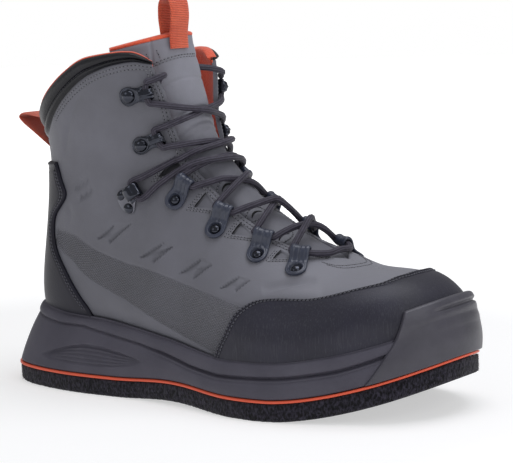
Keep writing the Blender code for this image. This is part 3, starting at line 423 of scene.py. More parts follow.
def smooth(rows, at):
    """Natural cubic curve through evenly spaced rows, read at shares 0 to 1."""
    rows = np.asarray(rows, float)
    n = len(rows)
    matrix, known = np.eye(n), np.zeros_like(rows)
    for i in range(1, n - 1):
        matrix[i, i - 1 : i + 2] = (1, 4, 1)
        known[i] = 6 * (rows[i - 1] - 2 * rows[i] + rows[i + 1])
    bends = np.linalg.solve(matrix, known)
    u = np.clip(np.asarray(at, float), 0, 1) * (n - 1)
    i = np.minimum(u.astype(int), n - 2)
    return cubic(rows, bends, i, i + 1, (u - i)[..., None])


def midsole_base(x):
    return ground(x) + FELT_THICKNESS + LINE_THICKNESS + 2 * GAP


def footbed(x):
    share = ease((np.asarray(x) / SOLE_LENGTH - CORE_FROM) / (CORE_TO - CORE_FROM))
    return midsole_base(x) + HEEL_CORE + (BALL_CORE - HEEL_CORE) * share


def rim_height(x):
    return footbed(x) + RIM_RISE * read(RIM, np.asarray(x) / SOLE_LENGTH)


def last(s, turn):
    """The last at share s of the fan and turn from the ridge: a superellipse in that section's plane."""
    row = smooth(SECTIONS, s)
    low_x, low_rise, top_x, top_rise, centre, half, ridge, widest, low_n, top_n = np.moveaxis(row, -1, 0)
    low_x, top_x = low_x * SOLE_LENGTH, top_x * SOLE_LENGTH
    bed = footbed(low_x)
    low_z, top_z = bed + low_rise * SHAFT_RISE, bed + top_rise * SHAFT_RISE
    c, v = np.cos(turn), np.sin(turn)
    n = np.where(c > 0, top_n, low_n)
    radius = (np.abs(c) ** n + np.abs(v) ** n) ** (-1 / n)
    rise = np.where(c > 0, widest + (1 - widest) * radius * c, widest + widest * radius * c)
    lean = np.clip((rise - widest) / (1 - widest), 0, 1) ** 1.5
    y = (centre + (ridge - centre) * lean + half * radius * v) * FORM_WIDTH
    return np.stack([low_x + (top_x - low_x) * rise, y, low_z + (top_z - low_z) * rise], -1)


def normal(s, turn):
    """Unit normal of the last: the cross product of its two central differences."""
    step = 1e-3
    s = np.clip(s, 2 * step, 1 - step)
    along = last(s + step, turn) - last(s - step, turn)
    across = last(s, turn + step) - last(s, turn - step)
    return unit(np.cross(across, along))


def skin(s, turn, grow=0.0):
    """The last moved outwards along its normal by grow."""
    s, turn, grow = np.broadcast_arrays(np.asarray(s, float), np.asarray(turn, float), np.asarray(grow, float))
    return last(s, turn) + normal(s, turn) * grow[..., None]


def level(turn, height=0.0, rim=1.0):
    """Share s, for each turn, where the last stands height over the footbed plus a share of the rim's rise."""
    turn = np.asarray(turn, float)
    low, high = np.full(turn.shape, 0.01), np.full(turn.shape, 0.999)
    for _ in range(36):
        middle = (low + high) / 2
        point = last(middle, turn)
        floor = footbed(point[..., 0])
        above = point[..., 2] > floor + (rim_height(point[..., 0]) - floor) * rim + height
        low, high = np.where(above, low, middle), np.where(above, middle, high)
    return (low + high) / 2


def rim_turn(w, height=0.0):
    """Turn on the last at share w of the way round at a height over the rim: 0 heel, outer side, 0.5 toe."""
    turns = np.linspace(pi, 0, 721)
    s = level(turns, height)
    outer, inner = lengths(last(s, -turns)), lengths(last(s, turns))
    return np.where(w <= 0.5, -np.interp(2 * w, outer, turns), np.interp(2 - 2 * w, inner, turns))


def rim_outline(w):
    """Share t of the outline below each place w of the rim."""
    t = np.linspace(0, 0.5, 361)
    outer, inner = lengths(outline(t, t * 0)[0]), lengths(outline(1 - t, t * 0)[0])
    return np.where(w <= 0.5, np.interp(2 * w, outer, t), 1 - np.interp(2 - 2 * w, inner, t))


def midsole_side(w, shares, bulge):
    """The midsole's side: straight lines from the outline to the rim, moved outwards by bulge(share row, w)."""
    turn, t = rim_turn(w), rim_outline(w)
    base, out = outline(t, w * 0)
    rim = skin(level(turn), turn, RIM_LIP)
    bottom = midsole_base(base[:, 0])
    grid = []
    for share, swell in zip(shares, bulge):
        flat = base + (rim[:, :2] - base) * share + out * swell[:, None]
        grid.append(np.column_stack([flat, bottom + (rim[:, 2] - bottom) * share]))
    return np.array(grid)


def dent(d, width):
    """A rounded furrow: e to the power of minus d over width squared."""
    return np.exp(-((d / width) ** 2))


def rolled(distance, radius, least=0.0):
    """A quarter-round edge: least at the edge, rising to 1 at a radius from it."""
    return np.sqrt(np.clip(1 - np.clip(1 - distance / radius, 0, 1) ** 2, least, 1))


BUMPER_SHARE, BUMPER_FADE = 0.060, 0.004
BUMPER_THICKNESS, BUMPER_PROUD = 0.0024, 0.0018
MIDSOLE_COLUMNS = 560
# the ribbed recess: left tip, crown and right tip as share of length and share of the side's height
LENS = ((0.125, 0.24, 0.24), (0.167, 0.39, 0.16), (0.194, 0.49, 0.13), (0.228, 0.555, 0.10), (0.28, 0.57, 0.10),
        (0.333, 0.52, 0.15), (0.373, 0.465, 0.25), (0.407, 0.38, 0.38))
LENS_DEPTH, RIB_HEIGHT = 0.0026, 0.0010
w = np.arange(MIDSOLE_COLUMNS) / MIDSOLE_COLUMNS
side_x = outline(rim_outline(w), w * 0)[0][:, 0] / SOLE_LENGTH
shares = np.concatenate([[0.0, 0.012, 0.03], np.linspace(0.055, 0.965, 62), [0.98, 0.992, 1.0]])
tall = rim_height(side_x * SOLE_LENGTH) - midsole_base(side_x * SOLE_LENGTH)
groove = read(GROOVE, side_x)
swell = []
lens_top, lens_low = read(LENS, side_x, 1), read(LENS, side_x, 2)
inside_x = ease((side_x - LENS[0][0]) / 0.035) * ease((LENS[-1][0] - side_x) / 0.05)
rib_fade = ease((side_x - 0.15) / 0.06) * ease((0.385 - side_x) / 0.05)
broad = ease((side_x - 0.36) / 0.12)
for share in shares:
    below = np.clip(share / groove, 0, 1)
    over = np.clip((share - groove) / (1 - groove), 0, 1)
    form = np.where(share < groove, 0.0016 * np.sin(pi * below) ** 0.7, 0.0013 * np.sin(pi * over) ** 0.6)
    away = (share - groove) * tall
    form = form - (0.0012 + 0.0007 * broad) * dent(away, 0.00055 + 0.00035 * broad)
    form = form - 0.0006 * broad * dent(away + 0.0021, 0.0005)
    height = (share - lens_low) / np.maximum(lens_top - lens_low, 0.02)
    inside = ease(height / 0.22) * ease((1 - height) / 0.10) * inside_x
    ribs = 0.5 + 0.5 * np.cos(2 * pi * (height * 6.0 + 0.35))
    form = form - inside * (LENS_DEPTH * (0.35 + 0.65 * ease(height / 0.9)) - RIB_HEIGHT * ribs * rib_fade)
    form = form - 0.0009 * (share > 0.97) * ((share - 0.97) / 0.03) ** 2
    form = form - 0.0008 * (share < 0.03) * ((0.03 - share) / 0.03) ** 2
    swell.append(form)
near = 1 - ease((np.abs(w - 0.5) - BUMPER_SHARE - 0.002) / BUMPER_FADE)
swell = np.array(swell) - near * (BUMPER_THICKNESS + GAP - BUMPER_PROUD)
side = midsole_side(w, shares, swell)
turn_at = rim_turn(w)
rim_rings = []
for inward, drop in ((0.0024, 0.0002), (0.0014, 0.0004), (CUP_GAP, -0.0006), (CUP_GAP, -0.003)):
    rim_rings.append(skin(level(turn_at, drop), turn_at, inward))
for rim_part in (0.6, 0.35, 0.12):
    rim_rings.append(skin(level(turn_at, 0.0, rim_part), turn_at, CUP_GAP))
bed_ring = rim_rings[-1].copy()
middle = (bed_ring + np.roll(bed_ring[::-1], 1, axis=0)) / 2
bed_ring = middle + (bed_ring - middle) * 0.97
bed_ring[:, 2] = footbed(bed_ring[:, 0]) - 0.0006
midsole_rings = capped(np.concatenate([side, np.array(rim_rings), bed_ring[None]]))
midsole_rings[-4:, :, 2] = footbed(midsole_rings[-4:, :, 0]) - 0.0006
midsole_rings[:4, :, 2] = midsole_base(midsole_rings[:4, :, 0])
# moulded carbon-black rubber: dark warm grey, a fine matt skin with faint mould flow marks
rubber_finish = material("moulded_rubber", "#49484f", 0.62, Specular_IOR_Level=0.35)


def skin_detail(made, low, high, fine_scale, fine_depth, broad_scale=28.0):
    """Mottles a material between two hex colours in broad patches, and gives it a fine grain in bump."""
    tree = made.node_tree
    shader = tree.nodes["Principled BSDF"]
    where = node(tree, "TexCoord").outputs["Object"]
    broad = node(tree, "TexNoise", Vector=where, Scale=broad_scale, Detail=4.0, Roughness=0.6).outputs["Fac"]
    fine = node(tree, "TexNoise", Vector=where, Scale=fine_scale, Detail=2.0, Roughness=0.6).outputs["Fac"]
    colour = ramped(tree, broad, 0.275, hex_colour(low), 0.725, hex_colour(high))
    bump = bumped(tree, fine, 0.6, fine_depth)
    tree.links.new(colour, shader.inputs["Base Color"])
    tree.links.new(bump, shader.inputs["Normal"])
    return tree, shader, where, colour, bump


skin_detail(rubber_finish, "#403e49", "#4e4c57", 1400.0, 0.00025)
piece("midsole_cup", midsole_rings, round_quads(midsole_rings), [rubber_finish], ["midsole"], "midsole_rubber")

# Toe bumper: a separate moulded rubber cap glued on the midsole's nose and up over the toe overlay
OVERLAY_GAP, OVERLAY_THICKNESS = 0.00065, 0.0013
BUMPER_RISE = 0.0125
BUMPER_COLUMNS = 150
bumper_across = np.sin(np.linspace(-pi / 2, pi / 2, BUMPER_COLUMNS))
edge_in = 1 - np.abs(bumper_across)
low_shares = np.linspace(0.015, 0.93, 34)
climb = np.concatenate([[0.0006, 0.0016], np.linspace(0.0026, BUMPER_RISE, 26)])
# height of each row over the midsole's base, as a share of the whole bumper; its rear edges lean forwards as they climb
part = np.concatenate([low_shares * 0.62, 0.62 + 0.38 * climb / BUMPER_RISE])[:, None]
bumper_half = BUMPER_SHARE + 0.0256 - 0.0360 * part
bumper_w = 0.5 + bumper_half * bumper_across
climb_turn = np.array([rim_turn(w, rise) for w, rise in zip(bumper_w[len(low_shares):], climb)])
climb_s = np.array([level(turn, rise) for turn, rise in zip(climb_turn, climb)])
seat_rise = 2.5 * OVERLAY_GAP + OVERLAY_THICKNESS
roll_top, roll_low = rolled(1 - part, 0.07), rolled(part, 0.03, 0.3)
roll_side = rolled(edge_in, 0.03, 0.05)[None, :]
lean_in = bumper_across[None, :]
recess = dent(part - (0.835 + 0.015 * lean_in), 0.022) * ease((lean_in + 0.62) / 0.35)
ledge = ease((part - 0.86) / 0.02) * ease((lean_in + 0.78) / 0.5)
body = (BUMPER_THICKNESS * roll_top * roll_low * roll_side - 0.0013 * recess + 0.0006 * ledge * roll_top
        - 0.0004 * dent(part - 0.70, 0.05) + 0.0003 * dent(part - 0.60, 0.06))
low_rows = len(low_shares)
seat_bulge = np.zeros((low_rows, BUMPER_COLUMNS)) - BUMPER_THICKNESS + BUMPER_PROUD + 0.0004
lower_bulge = seat_bulge + body[:low_rows] + 0.0011 * np.sin(pi * low_shares)[:, None]
lower_out, lower_in = (
    np.concatenate([midsole_side(bumper_w[k], low_shares[k : k + 1], bulge[k : k + 1]) for k in range(low_rows)])
    for bulge in (lower_bulge, seat_bulge - 0.0002))
bumper_out = np.concatenate([lower_out, skin(climb_s, climb_turn, seat_rise + body[low_rows:])])
bumper_in = np.concatenate([lower_in, skin(climb_s, climb_turn, seat_rise - 0.0001)])


def walled(outside, inside, keep=None, wrap=False):
    """A closed wall: one grid, the like grid inside it turned round, and quads along every open edge between them."""
    count = outside.shape[0] * outside.shape[1]
    quads = grid_quads(*outside.shape[:2], wrap=wrap)
    quads = quads.reshape(-1, 4) if keep is None else quads[keep]
    edges = np.concatenate([quads[:, [0, 1]], quads[:, [1, 2]], quads[:, [2, 3]], quads[:, [3, 0]]])
    open_edges = edges[~np.isin(edges[:, 1] * count + edges[:, 0], edges[:, 0] * count + edges[:, 1])]
    sides = np.column_stack([open_edges[:, 1], open_edges[:, 0], open_edges[:, 0] + count, open_edges[:, 1] + count])
    points = np.concatenate([outside.reshape(-1, 3), inside.reshape(-1, 3)])
    return points, np.concatenate([quads, quads[:, ::-1] + count, sides])


# the bumper's rubber, moulded a little glossier than the midsole's
bumper_finish = material("bumper_rubber", "#45444c", 0.42, Specular_IOR_Level=0.45)
skin_detail(bumper_finish, "#37363e", "#47454e", 500.0, 0.00012, 40.0)
piece("bumper_cap", *walled(bumper_out, bumper_in), [bumper_finish], ["toe_bumper"], "midsole_rubber")

# Upper: one lasted sheet of nubuck-faced synthetic leather with moulded slashes, a knurled band and cut windows
WALL = 0.0026
THROAT_START, THROAT_SHARE = 0.375, 0.80
THROAT = (
    (0.375, 0), (0.385, 7), (0.42, 15), (0.48, 21), (0.56, 26), (0.65, 31), (0.75, 34), (0.85, 36), (0.95, 41), (1.0, 43),
)
COLLAR_TOP = (
    (0, 0.935), (41, 0.940), (47, 0.960), (54, 0.974), (67, 0.979), (87, 0.982), (104, 0.970), (120, 0.958),
    (135, 0.949), (180, 0.945),
)
COLLAR_LOW = (
    (0, 0.930), (41, 0.934), (45, 0.939), (54, 0.952), (70, 0.955), (88, 0.948), (103, 0.935), (116, 0.922),
    (134, 0.905), (180, 0.897),
)
# the leather's top edge covers the foot of the collar's roll
COLLAR_LOW = tuple((turn, low + 0.22 * (float(np.interp(turn, *zip(*COLLAR_TOP))) - low)) for turn, low in COLLAR_LOW)


def rounded(table):
    """A collar line with its corners rounded: means over a stretch that widens from 1.5 to 9 degrees behind the throat."""
    turns = np.concatenate([[0.0, 40.0], np.arange(41.0, 181.0, 1.5)])
    reach = np.clip(1.5 + (turns - 41.0) * 0.45, 0.0, 9.0)
    nearby = 180.0 - np.abs(180.0 - np.abs(turns[:, None] + reach[:, None] * np.linspace(-1, 1, 15)))
    shares = np.average(read(table, nearby), axis=1, weights=1.06 - np.abs(np.linspace(-1, 1, 15)))
    return tuple(zip(turns, shares))


COLLAR_TOP, COLLAR_LOW = rounded(COLLAR_TOP), rounded(COLLAR_LOW)
OUTER_COLUMNS, INNER_COLUMNS = 196, 68
# moulded features on the outer side, mirrored on the inner one: (share s, degrees from the ridge) along each line
SLASHES = (
    # the two tips of each pressed wedge and its shallow corner; pairs share a sunk facet between them
    ((0.6867, 79.7), (0.7015, 91.0), (0.6855, 85.6)), ((0.6605, 74.0), (0.6769, 89.6), (0.6830, 85.0)),
    ((0.5993, 69.6), (0.619, 84.0), (0.6030, 78.2)), ((0.5848, 67.6), (0.5984, 81.8), (0.6045, 77.6)),
    ((0.5391, 61.7), (0.556, 76.0), (0.5395, 69.6)), ((0.5218, 60.6), (0.534, 73.6), (0.5390, 68.9)),
    ((0.4775, 56.2), (0.4916, 67.8), (0.4765, 62.4)), ((0.4588, 54.0), (0.4682, 65.0), (0.4730, 60.7)),
    ((0.8029, 88.1), (0.8169, 102.8), (0.8005, 95.5)), ((0.7805, 85.5), (0.7959, 98.4), (0.7770, 91.5)),
)
BAND_TOP = ((0.800, 121), (0.765, 107), (0.7203, 97.9), (0.6587, 92.1), (0.6222, 88.8), (0.59, 84.4), (0.5536, 79.9),
            (0.5172, 75.7), (0.485, 72.2), (0.440, 69.0))
BAND_LOW = ((0.775, 119), (0.735, 110.5), (0.6895, 109.0), (0.6194, 112.5), (0.5872, 114.5), (0.555, 116.5),
            (0.5228, 117.4), (0.470, 117.0))
WINDOWS = (
    # the three corners of each cut: top, low back, front
    ((0.676, 38.5), (0.672, 51.0), (0.645, 37.0)), ((0.596, 34.0), (0.594, 45.0), (0.5665, 35.5)),
    ((0.530, 29.5), (0.527, 39.5), (0.4990, 31.0)), ((0.457, 26.0), (0.4545, 34.5), (0.4300, 27.5)),
)
CREASES = (
    # line, half width and depth in metres
    (((0.942, 88), (0.926, 97), (0.900, 108), (0.872, 113)), 0.0028, 0.0011),
    (((0.826, 107), (0.818, 98), (0.811, 89.3)), 0.0014, 0.0006),
    (((0.801, 104), (0.790, 94), (0.7805, 85.5)), 0.0012, 0.0008),
    (((0.812, 112), (0.792, 106), (0.775, 110)), 0.0020, 0.0007),
    (((0.430, 56), (0.400, 45), (0.368, 35)), 0.0032, 0.0024),
    (((0.405, 57), (0.372, 49), (0.345, 42)), 0.0050, -0.0016),
)


def throat_edge(s):
    """Half opening of the throat in radians: none below its foot."""
    return np.where(np.asarray(s) > THROAT_START, np.radians(read(THROAT, s)), 0.0)


def half_turns(start, columns):
    """Turns of half a section, close together above the rim and far apart where the sole hides them."""
    seen = start + (radians(122) - start) * np.linspace(0, 1, columns)
    return np.concatenate([[start] * 3, seen, np.radians(np.linspace(128, 180, 8))])


upper_s, upper_turn, upper_fold = [], [], []
UPPER_ROWS = (  # first, last and how many: densest over the slashes and the band
    (0.0, 0.012, 2), (0.03, 0.24, 22), (0.246, 0.42, 38), (0.4222, 0.70, 142), (0.704, 1.0, 64), (1.0, 1.0, 3),
)
for s in np.concatenate([np.linspace(*rows) for rows in UPPER_ROWS]):
    edge = float(throat_edge(s))
    halves = -half_turns(edge, OUTER_COLUMNS)[::-1], half_turns(edge, INNER_COLUMNS)
    both = np.concatenate(halves)
    lift = np.clip((s - THROAT_SHARE) / (1 - THROAT_SHARE), 0, 1)
    top = read(COLLAR_LOW, np.abs(np.degrees(both)))
    upper_s.append(np.where(lift > 0, THROAT_SHARE + (top - THROAT_SHARE) * lift, s))
    upper_turn.append(both)
    fold = np.zeros(both.shape)
    if s > THROAT_START:
        fold[len(halves[0]) - 3 : len(halves[0])] = (-0.0004, -0.0013, -0.0024)
        fold[len(halves[0]) : len(halves[0]) + 3] = (-0.0024, -0.0013, -0.0004)
    upper_fold.append(fold)
upper_s, upper_turn, upper_fold = np.array(upper_s), np.array(upper_turn), np.array(upper_fold)
upper_fold[-3:] = np.minimum(upper_fold[-3:], np.array([-0.0004, -0.0013, -0.0024])[:, None])
upper_at, upper_out = last(upper_s, upper_turn), normal(upper_s, upper_turn)
MIDDLE = OUTER_COLUMNS + 11


def beside(line, side, reach=0.02):
    """Signed distance to the left of a line on the last, distance and share along it, for upper points near it."""
    line = np.asarray(line, float)
    knots = smooth(line, np.linspace(0, 1, 8 * len(line))) if len(line) > 2 else line
    path = last(knots[:, 0], side * np.radians(knots[:, 1]))
    shape = upper_s.shape
    signed, near, share = np.full(shape, 9.0), np.full(shape, 9.0), np.zeros(shape)
    inside = np.all((upper_at > path.min(0) - reach) & (upper_at < path.max(0) + reach), -1) & (upper_turn * side > 0)
    p, out = upper_at[inside], upper_out[inside]
    ahead = np.diff(path, axis=0)
    size = np.linalg.norm(ahead, axis=1)
    t = np.clip(np.einsum("nmk,mk->nm", p[:, None] - path[None, :-1], ahead) / size**2, 0, 1)
    gap = p[:, None] - (path[None, :-1] + t[..., None] * ahead)
    far = np.linalg.norm(gap, axis=2)
    best = np.argmin(far, axis=1)
    rows = np.arange(len(p))
    before = walked(path)
    left = np.cross(out, ahead[best] / size[best][:, None]) * side
    near[inside] = far[rows, best]
    signed[inside] = np.sign(np.sum(left * gap[rows, best], 1)) * far[rows, best]
    share[inside] = (before[best] + t[rows, best] * size[best]) / before[-1]
    return signed, near, share


def triangle_share(corners, side):
    """Barycentric shares of each upper point in a triangle on the last, in its own plane."""
    a, b, c = (last(np.float64(s), np.float64(side * radians(d))) for s, d in corners)
    rest = upper_at - a
    m = np.array([[np.dot(b - a, b - a), np.dot(b - a, c - a)], [np.dot(b - a, c - a), np.dot(c - a, c - a)]])
    v = np.linalg.solve(m, np.stack([rest @ (b - a), rest @ (c - a)], -1)[..., None])[..., 0]
    near = np.linalg.norm(rest, axis=-1) < 0.02
    return np.where(near, 1 - v[..., 0] - v[..., 1], -1), v[..., 0], v[..., 1]


grow = upper_fold.copy()
shade, band, along, across = (np.zeros(upper_s.shape) for _ in range(4))
for side in (-1, 1):
    for number, corners in enumerate(SLASHES):
        one, two, shallow = triangle_share(corners, side)
        inner = np.minimum(np.minimum(one, two), shallow)
        leaf = ease(inner / 0.08 + 0.5)
        grow -= (0.0013 if number < 8 else 0.0007) * leaf * (1 - np.clip(shallow, 0, 1))
        # painted shade: each pressed wedge is darkened towards its deep side, less so at the ankle
        shade += (0.42 if number < 8 else 0.15) * leaf * (1 - np.clip(shallow, 0, 1))
    for first, second in zip(SLASHES[:8:2], SLASHES[1:8:2]):
        for corners in ((first[0], first[2], second[0]), (first[2], second[2], second[0])):
            one, two, three = triangle_share(corners, side)
            grow -= 0.00045 * ease(np.minimum(np.minimum(one, two), three) / 0.10 + 0.5) * (1 - 0.4 * np.clip(two, 0, 1))
    over, near, share = beside(BAND_TOP, side, 0.05)
    low_signed, low_near, low_share = beside(BAND_LOW, side, 0.05)
    over, low_signed = over * side, low_signed * side
    inside = (over < 0) & (low_signed > 0)
    away = np.minimum(np.where(over < 8, np.abs(over), 9), np.where(low_signed < 8, np.abs(low_signed), 9))
    mask = inside & (share > 0.004) & (share < 0.996)
    strip = np.where(mask, ease(away / 0.0010), 0.0)
    grow -= 0.00028 * np.where(mask, ease(away / 0.0008), 0.0)
    grow -= 0.00028 * np.exp(-((over / 0.0007) ** 2)) * (share > 0.002) * (near < 1)
    grow -= 0.00016 * np.exp(-((low_signed / 0.0009) ** 2)) * (low_share > 0.002) * (low_near < 1)
    band = np.maximum(band, strip)
    along = np.where(upper_turn * side > 0, share * 160.0, along)
    across = np.where(upper_turn * side > 0, np.clip(over, -0.06, 0.06) * 1000, across)
    for line, wide, depth in CREASES:
        signed, near, share = beside(line, side, 0.02)
        grow -= depth * np.exp(-((signed / wide) ** 2)) * np.sin(pi * np.clip(share, 0, 1)) ** 0.7 * (near < 1)
    for number, corners in enumerate(WINDOWS):
        top, back, front = triangle_share(corners, side)
        inner = np.minimum(np.minimum(top, back), front)
        cut = ease(inner / 0.06 + 0.5)
        rise = np.clip(front, 0, 1)
        grow -= 0.0015 * cut * (1 - rise) ** 1.2
        # painted shade in each cut window, darkest along its cut from the top to the low back corner
        deep = ease((0.09 - front) / 0.07)
        shade += cut * (0.25 * (1 - rise) + 0.75 * deep)
        # the first window, at the lock, is sunk deeper and gets more painted shade
        if number == 0:
            grow -= 0.0008 * cut
            shade += 0.9 * cut
# edges: skived and turned, with the sewn lines pressed in
run = walked(upper_at, 1)
outer_half = np.arange(upper_s.shape[1]) < MIDDLE
from_throat = np.where(outer_half, run[:, MIDDLE - 1 : MIDDLE] - run, run - run[:, MIDDLE : MIDDLE + 1])
from_edge = np.minimum(np.where(upper_s > THROAT_START, from_throat, 9.0), walked(upper_at[::-1])[::-1])
grow -= 0.0006 * (1 - rolled(from_edge, 0.0014))
SEAM_AT = (0.0024, 0.0048)
for place_at in SEAM_AT:
    grow -= 0.00022 * dent(from_edge - place_at, 0.0006)
grow += 0.0002 * dent(from_edge - 0.0036, 0.0007)
rough_skin = rough(upper_s.shape, 11, 14)
grow += 0.00012 * rough_skin / np.abs(rough_skin).max()
# painted light: lighter and warmer over the vamp's top, where the light from above falls, so the back of the ankle
# reads darker
vamp_painted_light = ease((0.62 - upper_s) / 0.25) * ease((95 - np.abs(np.degrees(upper_turn))) / 60)
# nubuck-faced synthetic leather, mid grey: matt with a soft sheen, a pebbled grain and slight mottling
leather = material("grey_nubuck", "#66676c", 0.58, Specular_IOR_Level=0.38, Sheen_Weight=0.10, Sheen_Roughness=0.5)


def leather_nodes(made, low, high):
    """Mottled leather over a pebbled grain; gives its tree, shader, colour and bumped normal."""
    grain = 0.00012
    tree, shader, where, colour, bump = skin_detail(made, low, high, 1500.0, grain, 22.0)
    pebble = node(tree, "TexVoronoi", {"feature": "SMOOTH_F1"}, Vector=where, Scale=900.0, Smoothness=0.6)
    grained = bumped(tree, pebble.outputs["Distance"], 0.35, grain, bump)
    tree.links.new(grained, shader.inputs["Normal"])
    return tree, shader, colour, grained


def blended(tree, factor, first, second, kind="MIX"):
    """Colour output of a Mix node between two colours or sockets."""
    return node(tree, "Mix", {"data_type": "RGBA", "blend_type": kind}, Factor=factor, _6=first, _7=second).outputs[2]


def point_value(tree, name):
    """A value stored at the mesh's points."""
    return node(tree, "Attribute", {"attribute_name": name}).outputs["Fac"]


# the band is pressed with two crossing sets of ridges, with painted shade in its valleys; the vamp gets a painted
# highlight, and the slashes and cuts get painted shade
tree, shader, colour, grained = leather_nodes(leather, "#595960", "#676770")
mask = point_value(tree, "band")
slant = maths(tree, "MULTIPLY", point_value(tree, "along"), 1.15)
across_band = point_value(tree, "across")
waves = [maths(tree, "SINE", maths(tree, "MULTIPLY_ADD", across_band, slope, slant)) for slope in (2.0, -2.0)]
ridges = [maths(tree, "ABSOLUTE", wave) for wave in waves]
height = maths(tree, "MULTIPLY", maths(tree, "MINIMUM", *ridges), mask)
tree.links.new(bumped(tree, height, 0.9, 0.0008, grained), shader.inputs["Normal"])
# painted shade: the band's valleys between the ridges are darkened
valley_painted_shade = maths(tree, "MULTIPLY_ADD", height, -0.30, maths(tree, "MULTIPLY", mask, 0.20))
colour = blended(tree, valley_painted_shade, colour, hex_colour("#2e2e34"))
# painted light: paler over the vamp's top
colour = blended(tree, point_value(tree, "vamp"), colour, hex_colour("#7a7a82"))
# painted shade in the pressed slashes and the cut windows
colour = blended(tree, point_value(tree, "shade"), colour, hex_colour("#1c1c22"))
tree.links.new(colour, shader.inputs["Base Color"])
upper_points = upper_at + upper_out * grow[..., None]
upper_quads = grid_quads(*upper_s.shape)
keep = np.ones(upper_quads.shape[:2], bool)
keep[upper_s[:-1, 0] >= THROAT_START, MIDDLE - 1] = False
keep[(upper_s[1:, :-1] < 0.30) & (np.abs(upper_turn[1:, :-1]) > radians(150))] = True
piece("upper_leather", upper_points, upper_quads[keep], [leather], ["upper"], "grey_leather",
      values={"shade": np.clip(shade, 0, 1), "band": band, "along": along, "across": across, "vamp": vamp_painted_light * 0.8})

# the dark inside of a cut in the leather
cut_shadow = material("cut_shadow", "#0c0c0f", 0.9)


def cut_line(name, place_at, outward, width, slot="dark_leather"):
    """A lens-shaped dark gap along a line of places on a surface, from one tip to the other."""
    ahead = unit(np.gradient(place_at, axis=0))
    beside_way = unit(np.cross(outward, ahead))
    swell = (width / 2 * np.sin(pi * np.linspace(0.04, 0.96, len(place_at))) ** 0.6)[:, None]
    grid = np.stack([place_at - beside_way * swell, place_at + outward * 0.00006, place_at + beside_way * swell])
    piece(name, *walled(grid, grid - outward * 0.0004), [cut_shadow], slot=slot)


for side, label in ((-1, "outer"), (1, "inner")):
    for number, (top, back, front) in enumerate(WINDOWS, 1):
        run = np.linspace(0.02, 0.98, 14)[:, None]
        knots = np.array(top) * (1 - run) + np.array(back) * run
        turns = side * np.radians(knots[:, 1])
        cut_line(f"window_cut_{label}_{number}", skin(knots[:, 0], turns, -0.0002), normal(knots[:, 0], turns), 0.0008)

# Lining of the shaft: orange padded mesh inside the upper
# knitted orange mesh with a soft nap
lining = material("orange_lining", "#d8502f", 0.75, Sheen_Weight=0.3, Sheen_Roughness=0.5)


def weave_nodes(made, low, high, scale, depth):
    """Knitted cloth: a fine grid of loops in bump, and mottled colour."""
    tree, shader, where, _, bump = skin_detail(made, low, high, scale, depth, 60.0)
    cells = node(tree, "TexVoronoi", Vector=where, Scale=scale)
    tree.links.new(bumped(tree, cells.outputs["Distance"], 0.6, depth, bump), shader.inputs["Normal"])


weave_nodes(lining, "#c8482a", "#e05a36", 700.0, 0.0004)
LINING_HALF = 60
lining_grid = []
for s in np.linspace(THROAT_START + 0.03, 1.0, 60):
    edge = float(throat_edge(s)) + radians(1.0)
    turns = np.concatenate([np.linspace(-pi, -edge, LINING_HALF), np.linspace(edge, pi, LINING_HALF)])
    lift = np.clip((s - THROAT_SHARE) / (1 - THROAT_SHARE), 0, 1)
    top = read(COLLAR_LOW, np.abs(np.degrees(turns)))
    place_s = np.where(lift > 0, THROAT_SHARE + (top - THROAT_SHARE) * lift, s)
    lining_grid.append(skin(place_s, turns, -WALL))
lining_grid = np.array(lining_grid)
lining_keep = np.ones((lining_grid.shape[0] - 1, lining_grid.shape[1] - 1), bool)
lining_keep[:, LINING_HALF - 1] = False
lining_in = lining_grid + unit(np.array([0.1, 0.0, 0.1]) - lining_grid) * 0.0004
piece("shaft_lining", *walled(lining_grid, lining_in, lining_keep), [lining], slot="orange_webbing")


def inset(grid, distance):
    """Line on a grid at a distance from its first row, measured down each column, and the way out there."""
    run = walked(grid)
    facing = unit(np.cross(np.gradient(grid, axis=1), np.gradient(grid, axis=0)))
    line, out = (np.array([[np.interp(distance, run[:, i], each[:, i, k]) for k in range(3)] for i in range(grid.shape[1])])
                 for each in (grid, facing))
    out = unit(out)
    centre = np.column_stack([np.clip(line[:, 0], 0.085, 0.3), 0 * line[:, 1], np.clip(line[:, 2] - 0.02, 0.03, 0.2)])
    return line, out * np.sign(np.sum(out * (line - centre), 1))[:, None]


# Stitching: bonded nylon thread in a lock stitch; each stitch is a short bead that dips into its needle holes
STITCH = ((-0.5, 0.0, -0.9), (-0.44, 0.75, -0.5), (-0.2, 1.0, 0.0), (0.2, 1.0, 0.0), (0.44, 0.75, -0.5), (0.5, 0.0, -0.9))
HOLE_RADIUS = 0.00033
thread_parts, hole_parts = {}, []


def along_path(at, run, path):
    """Places on a path at distances along it, from the distance walked to each of its points."""
    return np.column_stack([np.interp(at, run, path[:, k]) for k in range(3)])


